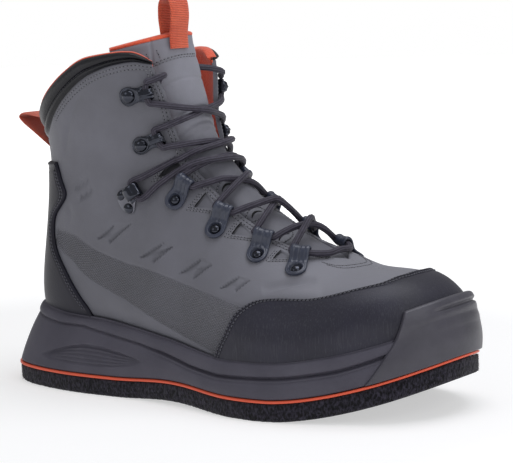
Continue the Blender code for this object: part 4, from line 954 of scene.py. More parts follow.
def stitch_row(colour, line, out, pitch=0.0023, length=0.0016, thick=0.00068, lift=0.00014):
    """Adds a row of stitches and needle holes along a line on a surface whose outward ways are given."""
    total = walked(line)
    at = np.arange(0.6 * pitch, total[-1] - 0.5 * pitch, pitch)
    at = at + chance.normal(0, 0.02 * pitch, at.shape)
    centre = along_path(at, total, line)
    ahead = unit(along_path(at + 0.0004, total, line) - along_path(at - 0.0004, total, line))
    up_way = unit(along_path(at, total, out))
    beside_way = unit(np.cross(up_way, ahead))
    cosine, sine = np.cos(np.arange(6) * pi / 3)[:, None], np.sin(np.arange(6) * pi / 3)[:, None]
    for along_share, radius, drop in STITCH:
        ring = (centre + ahead * along_share * length + up_way * (lift + drop * thick / 2))[:, None]
        ring = ring + radius * thick / 2 * (beside_way[:, None] * cosine + up_way[:, None] * sine)
        thread_parts.setdefault(colour, []).append(ring)
    gap_at = centre + ahead * pitch / 2
    disc = gap_at[:, None] + HOLE_RADIUS * (ahead[:, None] * cosine + beside_way[:, None] * sine)
    hole_parts.append(np.stack([disc + up_way[:, None] * 0.00009, disc - up_way[:, None] * 0.0003], 1))


# Eyestay and top edge seams of the upper, two rows each
for distance in SEAM_AT:
    for half in (upper_points[:, 3 : MIDDLE - 3][:, ::-1], upper_points[:, MIDDLE + 3 : -3]):
        rows = (upper_s[:, MIDDLE] > THROAT_START + 0.012) & (upper_s[:, MIDDLE] < 0.93)
        line, out = inset(np.swapaxes(half[rows], 0, 1), distance)
        stitch_row("grey_thread", line, out)
    for half in (upper_points[3:-3, 12 : MIDDLE - 6], upper_points[3:-3, MIDDLE + 6 : -12]):
        line, out = inset(half[::-1], distance)
        stitch_row("grey_thread", line, out)

# Toe overlay: brushed dark leather over the toe, its edge skived and sewn with two rows
TOE_TURNS = (
    (0, 0.240), (11, 0.240), (32, 0.253), (42, 0.293), (50, 0.340), (56, 0.383), (63, 0.427), (71, 0.445), (79, 0.450),
    (100, 0.455), (119, 0.458),
)
# dark leather, finished and brushed, with painted highlights on its fine streaks
dark_leather = material("brushed_leather", "#38383f", 0.46, Specular_IOR_Level=0.34)


def brushed_nodes(made, low, high, direction, depth=0.00010):
    """Buffed leather: fine slanting scratches with painted highlights, paler in colour where they would catch the
    light, over a pebbled grain.
    """
    tree, shader, where, colour, bump = skin_detail(made, low, high, 1200.0, depth, 30.0)
    turned = node(tree, "Mapping", Vector=where, Rotation=direction, Scale=(1500.0, 1500.0, 90.0)).outputs[0]
    scratch = node(tree, "TexNoise", Vector=turned, Scale=1.0, Detail=3.0, Roughness=0.65).outputs["Fac"]
    tree.links.new(bumped(tree, scratch, 0.45, depth * 2, bump), shader.inputs["Normal"])
    glint_painted_highlight = ramped(tree, scratch, 0.52, hex_colour("#000000"), 0.78, hex_colour("#ffffff"))
    tree.links.new(blended(tree, glint_painted_highlight, colour, hex_colour("#3a3a42")), shader.inputs["Base Color"])


brushed_nodes(dark_leather, "#1e1d28", "#282735", (0.35, 1.25, 0.5))
TOE_COLUMNS, TOE_ROWS = 220, 50
SKIVE, TOE_SEAMS, COUNTER_SEAMS = 0.0012, (0.0022, 0.0042), (0.0030, 0.0052)
toe_turn = np.radians(np.linspace(-118.4, 118.4, TOE_COLUMNS))
toe_low = level(toe_turn, -0.0025)
degrees = np.abs(np.degrees(toe_turn))
toe_high = smooth(np.column_stack([np.interp(np.linspace(0, 119, 22), *zip(*TOE_TURNS))]), degrees / 119)[:, 0]
toe_share = 1 - (1 - np.linspace(0, 1, TOE_ROWS)) ** 1.25
toe_s = toe_low + (toe_high - toe_low) * toe_share[:, None]
toe_turns = np.broadcast_to(toe_turn, toe_s.shape)
toe_base = last(toe_s, toe_turns)
toe_edge_far = walked(toe_base[::-1])[::-1]
thick = OVERLAY_GAP + OVERLAY_THICKNESS * (0.25 + 0.75 * rolled(toe_edge_far, SKIVE))
for distance in TOE_SEAMS:
    thick = thick - 0.00025 * dent(toe_edge_far - distance, 0.0006)
thick = thick + 0.0003 * dent(toe_edge_far - 0.0009, 0.0007)
wave = rough(toe_s.shape, 5, 20)
thick = thick + 0.0001 * wave / np.abs(wave).max()
toe_out = skin(toe_s, toe_turns, thick)
toe_in = skin(toe_s, toe_turns, OVERLAY_GAP * 0.2)
piece("toe_cap", *walled(toe_out, toe_in), [dark_leather], ["toe_overlay"], "dark_leather")
for distance in TOE_SEAMS:
    line, out = inset(toe_out[::-1], distance)
    stitch_row("dark_thread", line, out, thick=0.00075, lift=0.0002)

# Heel counter: smooth near-black leather round the heel, with a waisted front edge, a thin piping and two seams
COUNTER = (
    (-0.016, 0.275), (0.0, 0.268), (0.107, 0.224), (0.208, 0.186), (0.256, 0.176), (0.300, 0.176), (0.339, 0.180),
    (0.381, 0.204), (0.415, 0.222), (0.429, 0.224), (0.488, 0.212), (0.540, 0.198),
)
# smooth near-black leather, less brushed
counter_leather = material("smooth_leather", "#26262f", 0.46, Specular_IOR_Level=0.26)
skin_detail(counter_leather, "#11101a", "#1a1926", 900.0, 0.00016, 35.0)
COUNTER_ROWS, COUNTER_COLUMNS = 91, 116
heights = np.linspace(COUNTER[0][0], COUNTER[-1][0], COUNTER_ROWS)
dense = np.linspace(radians(92), pi, 240)
counter_edges = []
for side in (-1, 1):
    edge_turns = []
    for height in heights:
        at_s = level(dense, height * SHAFT_RISE)
        x = last(at_s, side * dense)[:, 0] / SOLE_LENGTH
        edge_turns.append(np.interp(-read(COUNTER, height), -x, dense))
    counter_edges.append(smooth(np.array(edge_turns)[::6][:, None], np.linspace(0, 1, COUNTER_ROWS))[:, 0])
spread = np.sin(np.linspace(-pi / 2, pi / 2, COUNTER_COLUMNS))
counter_s, counter_turn = [], []
for row, height in enumerate(heights):
    front, rear = -counter_edges[0][row], -(2 * pi - counter_edges[1][row])
    turns = front + (rear - front) * (spread + 1) / 2
    round_back = 1 - np.abs(spread) ** 2
    rise = height * SHAFT_RISE - 0.004 * round_back * ease(row / COUNTER_ROWS * 2 - 1)
    counter_s.append(level(turns, rise))
    counter_turn.append(turns)
counter_s, counter_turn = np.array(counter_s), np.array(counter_turn)
counter_base = last(counter_s, counter_turn)


def far_from_ends(grid):
    """Distance along the rows to the nearer end column, and up the columns to the last row."""
    run = walked(grid, 1)
    return np.minimum(run, run[:, -1:] - run), walked(grid[::-1])[::-1]


side_far, top_far = far_from_ends(counter_base)
edge_far = np.minimum(side_far, top_far)
thick = OVERLAY_GAP + OVERLAY_THICKNESS * (0.2 + 0.8 * rolled(edge_far, SKIVE)) + 0.0005 * dent(edge_far - 0.0010, 0.0007)
for distance in COUNTER_SEAMS:
    thick = thick - 0.0003 * dent(edge_far - distance, 0.0006)
counter_out = skin(counter_s, counter_turn, thick)
counter_in = skin(counter_s, counter_turn, OVERLAY_GAP * 0.2)
piece("heel_cup", *walled(counter_out, counter_in), [counter_leather], ["heel_counter"], "dark_leather")
for distance in COUNTER_SEAMS:
    for half in (counter_out[6:-3], counter_out[6:-3, ::-1]):
        line, out = inset(np.swapaxes(half, 0, 1), distance)
        stitch_row("counter_thread", line, out)

# Collar: a padded roll of dark coated cloth with a sewn channel, edged and lined in orange
COLLAR_PAD_OUT, CHANNEL_SHARE = 0.0018, 0.325
COLLAR_PROFILE = (
    # share of its height, padding outwards in metres
    (-0.12, -0.0012), (0.0, -0.0004), (0.06, 0.0001), (0.14, 0.0010), (0.22, 0.0012), (0.29, 0.0008), (0.325, 0.0001),
    (0.36, 0.0007), (0.44, 0.0016), (0.58, 0.0022), (0.72, 0.0021), (0.84, 0.0013), (0.92, 0.0002), (0.965, -0.0008),
    (0.99, -0.0018), (1.0, -0.0028),
)
collar_degrees = np.concatenate([np.linspace(42.5, 60, 30), np.linspace(61, 180, 90)])
collar_turn = np.radians(np.concatenate([-collar_degrees, collar_degrees[::-1][1:]]))
about = np.abs(np.degrees(collar_turn))
collar_low, collar_high = read(COLLAR_LOW, about), read(COLLAR_TOP, about)
collar_high = smooth(np.interp(np.linspace(0, len(about) - 1, 60), np.arange(len(about)), collar_high)[:, None],
                     np.arange(len(about)) / (len(about) - 1))[:, 0]
profile = smooth(COLLAR_PROFILE, np.linspace(0, 1, 48))
end_fade = rolled(about - 42.5, 2.0)
ripple = rough((len(profile), len(about)), 21, 16)
ripple = ripple / np.abs(ripple).max()


def on_collar(share, out):
    """A row of the collar: share of its height there, and how far it stands off the last."""
    return skin(collar_low + (collar_high - collar_low) * share, collar_turn, out)


collar_out = np.array([on_collar(share, (out + 0.00025 * wave) * end_fade - 0.0006 * (1 - end_fade))
                       for (share, out), wave in zip(profile, ripple)])
collar_in = np.array([on_collar(min(share, 0.97), -WALL - 0.0008) for share, _ in profile])
# dark cloth with a thin smooth coating
dark_cloth = material("coated_cloth", "#1c1c23", 0.38, Specular_IOR_Level=0.32)
weave_nodes(dark_cloth, "#09090e", "#121219", 1100.0, 0.00022)
collar_roll = piece("collar_roll", *walled(collar_out, collar_in), [dark_cloth], ["collar"], "dark_leather")
channel_row = int(np.argmin(np.abs(profile[:, 0] - CHANNEL_SHARE)))
line, out = inset(collar_out[channel_row:], 0.0)
stitch_row("dark_thread", line[8:-8], out[8:-8], lift=0.0003)
INSIDE_PROFILE = (
    (0.93, 0.0000), (0.975, -0.0001), (1.01, -0.0010), (1.03, -0.0022), (1.02, -0.0034), (0.97, -0.0046), (0.85, -0.0058),
    (0.6, -0.0062), (0.3, -0.0056), (0.0, -0.0048), (-0.6, -0.0040), (-1.4, -0.0034),
)
inside = smooth(INSIDE_PROFILE, np.linspace(0, 1, 30))
edge_in = np.array([on_collar(share, out * 0.9) for share, out in inside])
edge_back = np.array([on_collar(min(share, 0.96), -WALL * 0.9) for share, _ in inside])
piece("collar_lining", *walled(edge_in, edge_back), [lining], slot="orange_webbing")

# Tongue: a padded leaf of the same grey leather, lined in orange, with a sewn patch over the instep and cut slits
TONGUE_THICKNESS, TONGUE_CROWN = 0.0042, 0.0016
TONGUE = (
    (0.355, -9, 9, 0.0034), (0.42, -27, 27, 0.0034), (0.50, -34, 34, 0.0034), (0.60, -40, 36, 0.0036),
    (0.70, -44, 32, 0.0048), (0.80, -49, 24, 0.0078), (0.90, -58, 17, 0.0105), (0.985, -76, 12, 0.0125),
)
TONGUE_ROWS, TONGUE_COLUMNS = 200, 80
tongue_s = np.linspace(TONGUE[0][0], TONGUE[-1][0], TONGUE_ROWS)
dense_s = np.linspace(TONGUE[0][0], TONGUE[-1][0], 9)
outer_edge, inner_edge, tongue_depth = (
    smooth(read(TONGUE, dense_s, k)[:, None], np.linspace(0, 1, TONGUE_ROWS))[:, 0] for k in (1, 2, 3))
tongue_across = np.sin(np.linspace(-pi / 2, pi / 2, TONGUE_COLUMNS)) * 0.5 + 0.5
tongue_across = 0.25 * tongue_across + 0.75 * np.linspace(0, 1, TONGUE_COLUMNS)
tongue_turn = np.radians(outer_edge[:, None] + (inner_edge - outer_edge)[:, None] * tongue_across)
tongue_share = np.broadcast_to(tongue_s[:, None], tongue_turn.shape)
opening = np.maximum(read(THROAT, tongue_s), 1)[:, None]
tongue_rise = TONGUE_CROWN * ease((tongue_s - THROAT_START - 0.01) / 0.05)[:, None]
crown = tongue_rise * np.clip(1 - (np.degrees(tongue_turn) / opening) ** 2, 0, 1)
low_part = ease((0.68 - tongue_s) / 0.06)[:, None]
crown = crown + 0.0011 * np.clip(1 - (np.degrees(tongue_turn) / opening) ** 4, 0, 1) * low_part
tongue_base = skin(tongue_share, tongue_turn, crown - tongue_depth[:, None])
side_far, top_far = far_from_ends(tongue_base)
edge_far = np.minimum(side_far, top_far)
tongue_grow = -0.0016 * (1 - rolled(edge_far, 0.0026))
SEAM_SHARE, UPRIGHT_TURN = 0.932, -43.0
below_top = (tongue_s[:, None] - SEAM_SHARE) * 0.36
tongue_grow -= 0.0004 * dent(below_top, 0.0008)
upright = (np.degrees(tongue_turn) - UPRIGHT_TURN) * 0.00075
tongue_grow -= 0.0008 * dent(upright, 0.0009) * ease(below_top / 0.001)
tongue_grow += 0.0005 * np.sin(pi * np.clip((tongue_s[:, None] - SEAM_SHARE) / 0.035, 0, 1)) ** 0.7
tongue_grow += 0.0007 * ease((0.662 - tongue_s[:, None]) / 0.006) * ease((24 - np.abs(np.degrees(tongue_turn))) / 3.0)
wave = rough(tongue_base.shape[:2], 31, 40)
tongue_grow += 0.0005 * wave / np.abs(wave).max()
for at_s, deep in ((0.705, 0.0009), (0.745, 0.0011), (0.690, 0.0006), (0.845, 0.0004)):
    slope = 0.10 * np.sin(np.radians(tongue_turn * 57.3 * 3 + at_s * 900))
    tongue_grow -= deep * dent((tongue_s[:, None] - at_s) * 0.30 + slope * 0.004, 0.0016)
SLITS = ((0.5858, -17.5), (0.5284, -14.5), (0.4766, -13.5), (0.5858, 17.5), (0.5284, 14.5), (0.4766, 13.5))
tongue_front = tongue_base + normal(tongue_share, tongue_turn) * tongue_grow[..., None]
tongue_rear = skin(tongue_share, tongue_turn, crown - tongue_depth[:, None] - TONGUE_THICKNESS * 0.95)
# the upper's leather again, unpressed and softer
tongue_leather = material("tongue_leather", "#6b6c71", 0.55, Specular_IOR_Level=0.38, Sheen_Weight=0.1)
tree, shader, colour, _ = leather_nodes(tongue_leather, "#74747c", "#868690")
# painted shade: it is darker low down, over the instep, where it sits between the eyestays under the lace
height = node(tree, "SeparateXYZ", Vector=node(tree, "TexCoord").outputs["Object"]).outputs["Z"]
low_painted_shade = node(tree, "MapRange", Value=height, From_Min=0.158, From_Max=0.128).outputs[0]
tree.links.new(blended(tree, low_painted_shade, colour, hex_colour("#5f5f67")), shader.inputs["Base Color"])
points, quads = walled(tongue_front, tongue_rear)
lined = np.arange(len(quads)) >= (TONGUE_ROWS - 1) * (TONGUE_COLUMNS - 1)
tongue_leaf = piece("tongue_leaf", points, quads, [tongue_leather, lining], ["tongue"], "grey_leather", which=lined)


def on_tongue(s, degrees, lift=0.0):
    """Places on the tongue's face, and its outward ways, read from its grid at shares and turns."""
    rows = np.interp(s, tongue_s, np.arange(TONGUE_ROWS))
    low = np.clip(rows.astype(int), 0, TONGUE_ROWS - 2)
    part_way = (rows - low)[:, None]
    below, above = (
        np.concatenate([along_path([d], np.degrees(tongue_turn[r]), tongue_front[r]) for r, d in zip(row, degrees)])
        for row in (low, low + 1))
    out = normal(s, np.radians(degrees))
    return below * (1 - part_way) + above * part_way + out * lift, out


for number, (s, degrees) in enumerate(SLITS, 1):
    swing = np.linspace(-1, 1, 17)
    curve = on_tongue(s + 0.0042 * (1 - swing**2) - 0.002, degrees + 5.2 * swing, 0.0001)
    cut_line(f"tongue_cut_{number}", *curve, 0.0013)
    swing = np.linspace(0, 2 * pi, 60)
    oval = on_tongue(s + 0.0098 * np.sin(swing), degrees + 8.6 * np.cos(swing), 0.0001)
    stitch_row("grey_thread", *oval, pitch=0.0020, length=0.0014, thick=0.0006)
# the leaf's top edge is bound in orange cloth
top_line, top_out = tongue_front[-1, 2:-2], normal(tongue_share[-1], tongue_turn[-1])[2:-2]
rise_way = unit(tongue_base[-1] - tongue_base[-8])[2:-2]
half = TONGUE_THICKNESS / 2
angles = np.linspace(-0.25 * pi, 1.25 * pi, 14)[:, None, None]
binding = (top_line + top_out * (np.cos(angles) * (half + 0.0006) - half + 0.0010)
           + rise_way * (np.sin(angles) * 0.0016 + 0.0002))
binding_in = binding * 0.999 + (top_line - top_out * 0.002) * 0.001
piece("tongue_binding", *walled(binding, binding_in), [lining], slot="orange_webbing")
row = int(np.argmin(np.abs(tongue_s - SEAM_SHARE)))
for distance, lift in ((0.0, 0.0003), (0.0016, 0.0002)):
    stitch_row("grey_thread", *inset(tongue_front[row:, 6:-6], distance), lift=lift)
column = int(np.argmin(np.abs(np.degrees(tongue_turn[row + 10]) - UPRIGHT_TURN)))
for shift in (-4, 4):
    upright_seam = inset(np.swapaxes(tongue_front[row + 4 : -6, column + shift :], 0, 1), 0.0)
    stitch_row("grey_thread", *upright_seam, pitch=0.0026, lift=0.0002)


def last_row(places, side=1.0, count=60):
    """A smooth line on the last through (share s, degrees) places, with its outward ways."""
    places = np.asarray(places, float)
    at = np.linspace(0, 1, count)
    fine = smooth(places, at) if len(places) > 2 else places[0] + (places[1] - places[0]) * at[:, None]
    turns = side * np.radians(fine[:, 1])
    return last(fine[:, 0], turns), normal(fine[:, 0], turns)


def moved(s, degrees, side, vector):
    """The place reached from one on the last by a small vector, as (share s, degrees)."""
    a, b = np.float64(s), np.float64(side * radians(degrees))
    ways = np.column_stack([(last(a + 1e-3, b) - last(a, b)) / 1e-3, (last(a, b + 1e-3) - last(a, b)) / 1e-3])
    step = np.linalg.lstsq(ways, vector, rcond=None)[0]
    return s + step[0], degrees + side * math.degrees(step[1])


for side in (-1, 1):
    # each window's two back edges are sewn with two rows
    for corners in WINDOWS:
        at = [last(np.float64(s), np.float64(side * radians(d))) for s, d in corners]
        outward = unit(at[1] - at[2]), unit(at[1] - at[0])
        for distance in (0.0013, 0.0027):
            top = moved(*corners[0], side, outward[0] * distance)
            low = moved(*corners[1], side, (outward[0] + outward[1]) * distance)
            front = moved(*corners[2], side, outward[1] * distance)
            for ends in ((top, low), (low, front)):
                stitch_row("grey_thread", *last_row(ends, side, count=20), pitch=0.0019, length=0.0014, thick=0.0005)
# the instep patch ends in a sewn arc on the vamp
for grow_by in (0.0, 0.010):
    arc = [(share - grow_by, turn) for share, turn in ((0.392, -20), (0.366, -15), (0.354, -3), (0.357, 10), (0.385, 19))]
    stitch_row("grey_thread", *last_row(arc), pitch=0.0021, length=0.0015, thick=0.00066)

# Pull loops: 20 mm and 13 mm webbing of ribbed orange polyester, folded and sewn under the collar and the tongue seam
def flow(points, count):
    """Evenly spaced points on a smooth curve through given ones, with centripetal spacing."""
    points = np.asarray(points, float)
    gap = np.sqrt(np.maximum(np.linalg.norm(np.diff(points, axis=0), axis=1), 1e-9))
    t = np.concatenate([[0], np.cumsum(gap)])
    slope = np.gradient(points, t, axis=0)
    dense = np.linspace(0, t[-1], 30 * len(points))
    i = np.clip(np.searchsorted(t, dense, "right") - 1, 0, len(t) - 2)
    h = (t[i + 1] - t[i])[:, None]
    u = ((dense - t[i])[:, None]) / h
    curve = ((2 * u**3 - 3 * u**2 + 1) * points[i] + (u**3 - 2 * u**2 + u) * h * slope[i]
             + (3 * u**2 - 2 * u**3) * points[i + 1] + (u**3 - u**2) * h * slope[i + 1])
    return along_path(np.linspace(0, 1, count), lengths(curve), curve)


# ribbed orange polyester webbing; ribs run across it, with painted shade between them
webbing = material("ribbed_webbing", "#d9532f", 0.72, Sheen_Weight=0.35, Sheen_Roughness=0.4)
tree, shader, _, colour, bump = skin_detail(webbing, "#d64f2e", "#ee6a45", 1600.0, 0.0002, 90.0)
weave_at = node(tree, "UVMap").outputs[0]
ribs, ends = (
    node(tree, "TexWave", {"wave_type": "BANDS", "bands_direction": way}, Vector=weave_at, Scale=scale,
         Distortion=bent, Detail=detail).outputs["Fac"]
    for way, scale, bent, detail in (("Y", 0.32, 0.4, 1.0), ("X", 0.5, 0.2, 2.0)))
ribbed = bumped(tree, ribs, 0.8, 0.0006, bump)
tree.links.new(bumped(tree, ends, 0.35, 0.0003, ribbed), shader.inputs["Normal"])
# painted shade between the ribs: the colour is darkened in each rib's valley
rib_painted_shade = ramped(tree, ribs, 0.0, (0.42, 0.42, 0.42, 1.0), 0.55, (1.0, 1.0, 1.0, 1.0))
tree.links.new(blended(tree, 0.75, colour, rib_painted_shade, "MULTIPLY"), shader.inputs["Base Color"])


def webbing_strap(name, path, across, half_width, thickness, node_name):
    """A woven strap: ribs across it, selvedges rounded, in UV of millimetres across and along."""
    across = unit(np.broadcast_to(across, path.shape))
    up_way = unit(np.cross(unit(np.gradient(path, axis=0)), across))
    x = np.sin(np.linspace(-pi / 2, pi / 2, 22))
    edge = np.sqrt(np.clip(1 - np.abs(x) ** 6, 0.04, 1))
    level_grid = path[:, None] + across[:, None] * (half_width * x)[:, None]
    half_thick = up_way[:, None] * (thickness / 2 * edge)[:, None]
    grids = level_grid + half_thick, level_grid - half_thick
    uv = np.stack(np.broadcast_arrays(x[None] * half_width * 1000, walked(path)[:, None] * 1000), -1)
    points, quads = walled(*grids)
    piece(name, points, quads, [webbing], [node_name], "orange_webbing", uv=np.concatenate([uv.reshape(-1, 2)] * 2))


HEEL_LOOP = ((0.0, 1.0), (0.50, 1.12), (0.90, 1.17), (1.0, 1.08), (0.93, 0.93), (0.62, 0.62), (0.30, 0.30), (0.0, 0.0))
HEEL_LOOP_WIDTH, HEEL_LOOP_REACH, WEBBING_THICKNESS = 0.020, 0.024, 0.0016
back_low, back_high = skin(0.904, pi, COLLAR_PAD_OUT * 0.5 + 2 * GAP), skin(0.937, pi, COLLAR_PAD_OUT + 2 * GAP)
loop_rise = back_high[2] - back_low[2]
loop_path = [(back_low[0] + (back_high[0] - back_low[0]) * rise - reach * HEEL_LOOP_REACH, 0.0,
              back_low[2] + loop_rise * rise) for reach, rise in HEEL_LOOP]
webbing_strap("heel_webbing", flow(loop_path, 130), (0, 1, 0), HEEL_LOOP_WIDTH / 2, WEBBING_THICKNESS, "heel_loop")
TONGUE_LOOP = (
    (0.0, -0.36), (0.0, 0.0), (0.15, 0.55), (0.05, 0.92), (-0.25, 1.0), (-0.52, 0.88), (-0.62, 0.5),
    (-0.56, 0.05), (-0.56, -0.30),
)
LOOP_SHARE, LOOP_TURN, TONGUE_LOOP_WIDTH, TONGUE_LOOP_HEIGHT = 0.985, -14, 0.013, 0.022
face_rise = TONGUE_CROWN - TONGUE[-1][3] + 3 * GAP + WEBBING_THICKNESS / 2
face = skin(LOOP_SHARE, radians(LOOP_TURN), face_rise)
below = skin(LOOP_SHARE - 0.05, radians(LOOP_TURN), face_rise)
rise_way, out_way = unit(face - below), normal(np.float64(LOOP_SHARE), np.float64(radians(LOOP_TURN)))
depth_way = out_way - rise_way * np.dot(out_way, rise_way)
loop_depth = (TONGUE_THICKNESS + 3 * WEBBING_THICKNESS) / 0.56
tall, deep = rise_way * TONGUE_LOOP_HEIGHT, depth_way * loop_depth
loop_path = [face + deep * reach + tall * rise for reach, rise in TONGUE_LOOP]
webbing_strap("tongue_webbing", flow(loop_path, 150), np.cross(rise_way, depth_way), TONGUE_LOOP_WIDTH / 2,
              WEBBING_THICKNESS, "tongue_loop")

# Lace hardware: moulded loops riveted through a cupped hole, pressed hooks and a riveted locking hook on each side
# share up the last, turn from the ridge, turn of the fitting on the surface, and its shift along itself
LOOPS = ((0.410, 33, 26, -0.0015), (0.478, 38, 30, -0.0008), (0.550, 43, 26, -0.0014), (0.623, 49, 15, -0.0018))
LOCK = (0.694, 69, 2, 0.0)
HOOKS = ((0.763, 56, 14, 0.0022), (0.880, 58, 6, -0.0013))


def on_side(fitting, side, along_by, up_by, out):
    """Places near a fitting: metres along it towards the throat, across it up the boot, and off the last.

    The fitting's two ways are square to each other in the surface; a step along them is turned into
    shares and turns of the last by its two slopes there."""
    s, degrees, turned, shift = fitting
    turn, step = np.float64(radians(degrees) * side), 1e-3
    slopes = np.column_stack([last(s + step, turn) - last(s - step, turn),
                              last(np.float64(s), turn + step) - last(np.float64(s), turn - step)]) / (2 * step)
    out_way = normal(np.float64(s), turn)
    up_way = unit(slopes[:, 0])
    along_way = unit(np.cross(up_way, out_way)) * -side
    tilt = radians(turned)
    ways = along_way * math.cos(tilt) + up_way * math.sin(tilt), up_way * math.cos(tilt) - along_way * math.sin(tilt)
    along_by, up_by = np.broadcast_arrays(np.asarray(along_by, float) + shift, np.asarray(up_by, float))
    move = along_by[..., None] * ways[0] + up_by[..., None] * ways[1]
    solve = np.linalg.pinv(slopes)
    return skin(s + move @ solve[0], turn + move @ solve[1], np.broadcast_to(out, along_by.shape))


def pressed(name, place_at, profile, width, thickness, finish, node_name, slot, rows, columns, rise=None, bevel=6):
    """A pressed or moulded strip: an (along, out) profile, half width by share of it, and relief on its top face."""
    line = flow(np.column_stack([profile, np.zeros(len(profile))]), rows)[:, :2]
    share = lengths(np.column_stack([line, line[:, 0] * 0]))
    ahead = unit(np.gradient(line, axis=0))
    lift = np.column_stack([-ahead[:, 1], ahead[:, 0]])
    x = np.sin(np.linspace(-pi / 2, pi / 2, columns)) * 0.4 + np.linspace(-1, 1, columns) * 0.6
    half = width(share, line)
    across_by = half[:, None] * x
    edge, end = (np.sqrt(np.clip(1 - np.abs(v) ** power, 0.03, 1)) for v, power in ((x, bevel), (2 * share - 1, 60)))
    edge = edge[None] * end[:, None]
    relief = rise(line[:, :1] + 0 * across_by, across_by, share[:, None]) if rise else 0.0
    grids = []
    for sign in (1, -1):
        level_by = sign * thickness / 2 * edge + (relief if sign > 0 else np.minimum(relief, 0) * 0.9)
        along_by = line[:, :1] + lift[:, :1] * level_by
        out = line[:, 1:] + lift[:, 1:] * level_by
        grids.append(on_side(*place_at, along_by, across_by, out))
    return piece(name, *walled(*grids), [finish], [node_name] if node_name else (), slot)


def dome(name, place_at, off, radius, base, height, finish, slot):
    """A rivet head: a low dome with a rolled foot, on a fitting's place."""
    share = np.linspace(0, pi / 2, 14)
    r, z = radius * np.sin(share), base + height * np.cos(share)
    r, z = np.concatenate([r, [radius * 1.02, radius * 0.98]]), np.concatenate([z, [base - 0.0002, base - 0.0008]])
    angles = np.arange(36) * 2 * pi / 36
    across, beyond = off[0] + r[:, None] * np.cos(angles), off[1] + r[:, None] * np.sin(angles)
    grid = on_side(*place_at, across, beyond, np.broadcast_to(z[:, None], across.shape))
    return piece(name, grid, round_quads(grid), [finish], slot=slot)


# glass-filled nylon, slate blue-grey, satin, with slight mottling
slate = material("slate_nylon", "#464b5c", 0.33, Specular_IOR_Level=0.5)
skin_detail(slate, "#282c3b", "#343949", 2200.0, 0.00006, 180.0)
# blackened steel: hard gloss over a blue-black metal
black_steel = material("blackened_steel", "#1f222e", 0.16, Metallic=0.85, Coat_Weight=0.6, Coat_Roughness=0.08)
skin_detail(black_steel, "#1a1d28", "#252936", 1800.0, 0.00002, 120.0)
# plated steel sheet, left paler than the blackened parts
gunmetal = material("gunmetal_plate", "#77777f", 0.34, Metallic=0.8)
skin_detail(gunmetal, "#6c6c75", "#83838b", 1500.0, 0.00003, 140.0)
# polished steel of the small studs
rivet_steel = material("rivet_steel", "#3b3c48", 0.13, Metallic=0.95, Coat_Weight=0.5, Coat_Roughness=0.05)

# profiles: metres along the fitting and off the last
LOOP_PROFILE = (
    (-0.0058, 0.0009), (-0.003, 0.0009), (0.0, 0.0009), (0.0035, 0.0010), (0.0062, 0.0017), (0.0082, 0.0036),
    (0.0097, 0.0054), (0.0114, 0.0064), (0.0131, 0.0061), (0.0143, 0.0047), (0.0145, 0.0032), (0.0135, 0.0019),
    (0.0115, 0.0014), (0.0095, 0.0013),
)


def loop_width(share, line):
    """Half width of a moulded loop: a round head, a straight strap and a slightly narrower curl."""
    a = line[:, 0]
    head = np.sqrt(np.clip(0.0058**2 - np.minimum(a, 0) ** 2, 1e-9, None))
    strap = 0.0058 - 0.0005 * ease((a - 0.001) / 0.006)
    curl = 0.0053 - 0.0005 * ease((share - 0.85) / 0.15)
    return np.where((a < 0) & (share < 0.5), head, np.where(share > 0.85, curl, strap))


def loop_relief(a, u, share):
    """A deep cupped hole at the rivet, a groove down the strap's middle and a raised flange along each side."""
    r = np.hypot(a, u)
    cup = np.where(share < 0.5, -0.0016 * (1 - ease((r - 0.0033) / 0.0006)) + 0.00045 * dent(r - 0.0041, 0.0006), 0)
    strap = ease((a - 0.0034) / 0.0012) * ease((0.80 - share) / 0.1)
    groove = -0.00060 * dent(u, 0.00034) * strap
    flange = 0.00045 * ease((np.abs(u) - 0.0028) / 0.0006) * strap
    rim = 0.00040 * ease((r - 0.0047) / 0.0005) * (share < 0.32)
    return cup + groove + flange + rim


def hook_width(share, line):
    """Half width of a speed hook: a round disc, a waisted plate and a prong that narrows to its tip."""
    a = line[:, 0]
    first = np.sqrt(np.clip(0.0054**2 - np.minimum(a, 0) ** 2, 1e-9, None))
    plate = 0.0054 - 0.0011 * np.sin(pi * np.clip(a / 0.0104, 0, 1)) ** 2
    prong = 0.0050 - 0.0020 * ease((share - 0.58) / 0.25)
    return np.where((share < 0.5) & (a < 0), first, np.where(share < 0.55, plate, prong))


def hook_relief(a, u, share):
    """A rolled edge round the plate's first disc, a stepped cup in its second and a notch in the prong."""
    first, second = np.hypot(a, u), np.hypot(a - 0.0104, u)
    cup = 0.00035 * dent(second - 0.0036, 0.0007) - 0.0006 * (1 - ease((second - 0.0014) / 0.0012))
    ring = cup - 0.0003 * dent(first - 0.0043, 0.0005)
    notch = -0.0008 * dent(u, 0.0010) * (share > 0.72)
    return np.where(share < 0.52, ring, 0) + notch


HOOK_PROFILE = (
    (-0.0054, 0.0010), (-0.002, 0.0010), (0.0, 0.0010), (0.004, 0.0011), (0.0086, 0.0012), (0.0122, 0.0014),
    (0.0138, 0.0026), (0.0143, 0.0043), (0.0133, 0.0060), (0.0111, 0.0066), (0.0086, 0.0065), (0.0066, 0.0071),
)
LOCK_PLATE_PROFILE = ((-0.0052, 0.0008), (-0.002, 0.0008), (0.002, 0.0008), (0.006, 0.0010), (0.010, 0.0012))
LOCK_BLOCK_PROFILE = (
    (0.0022, 0.0016), (0.0050, 0.0015), (0.0085, 0.0015), (0.0112, 0.0018), (0.0124, 0.0034), (0.0121, 0.0056),
    (0.0104, 0.0071), (0.0078, 0.0075), (0.0052, 0.0070), (0.0036, 0.0061),
)


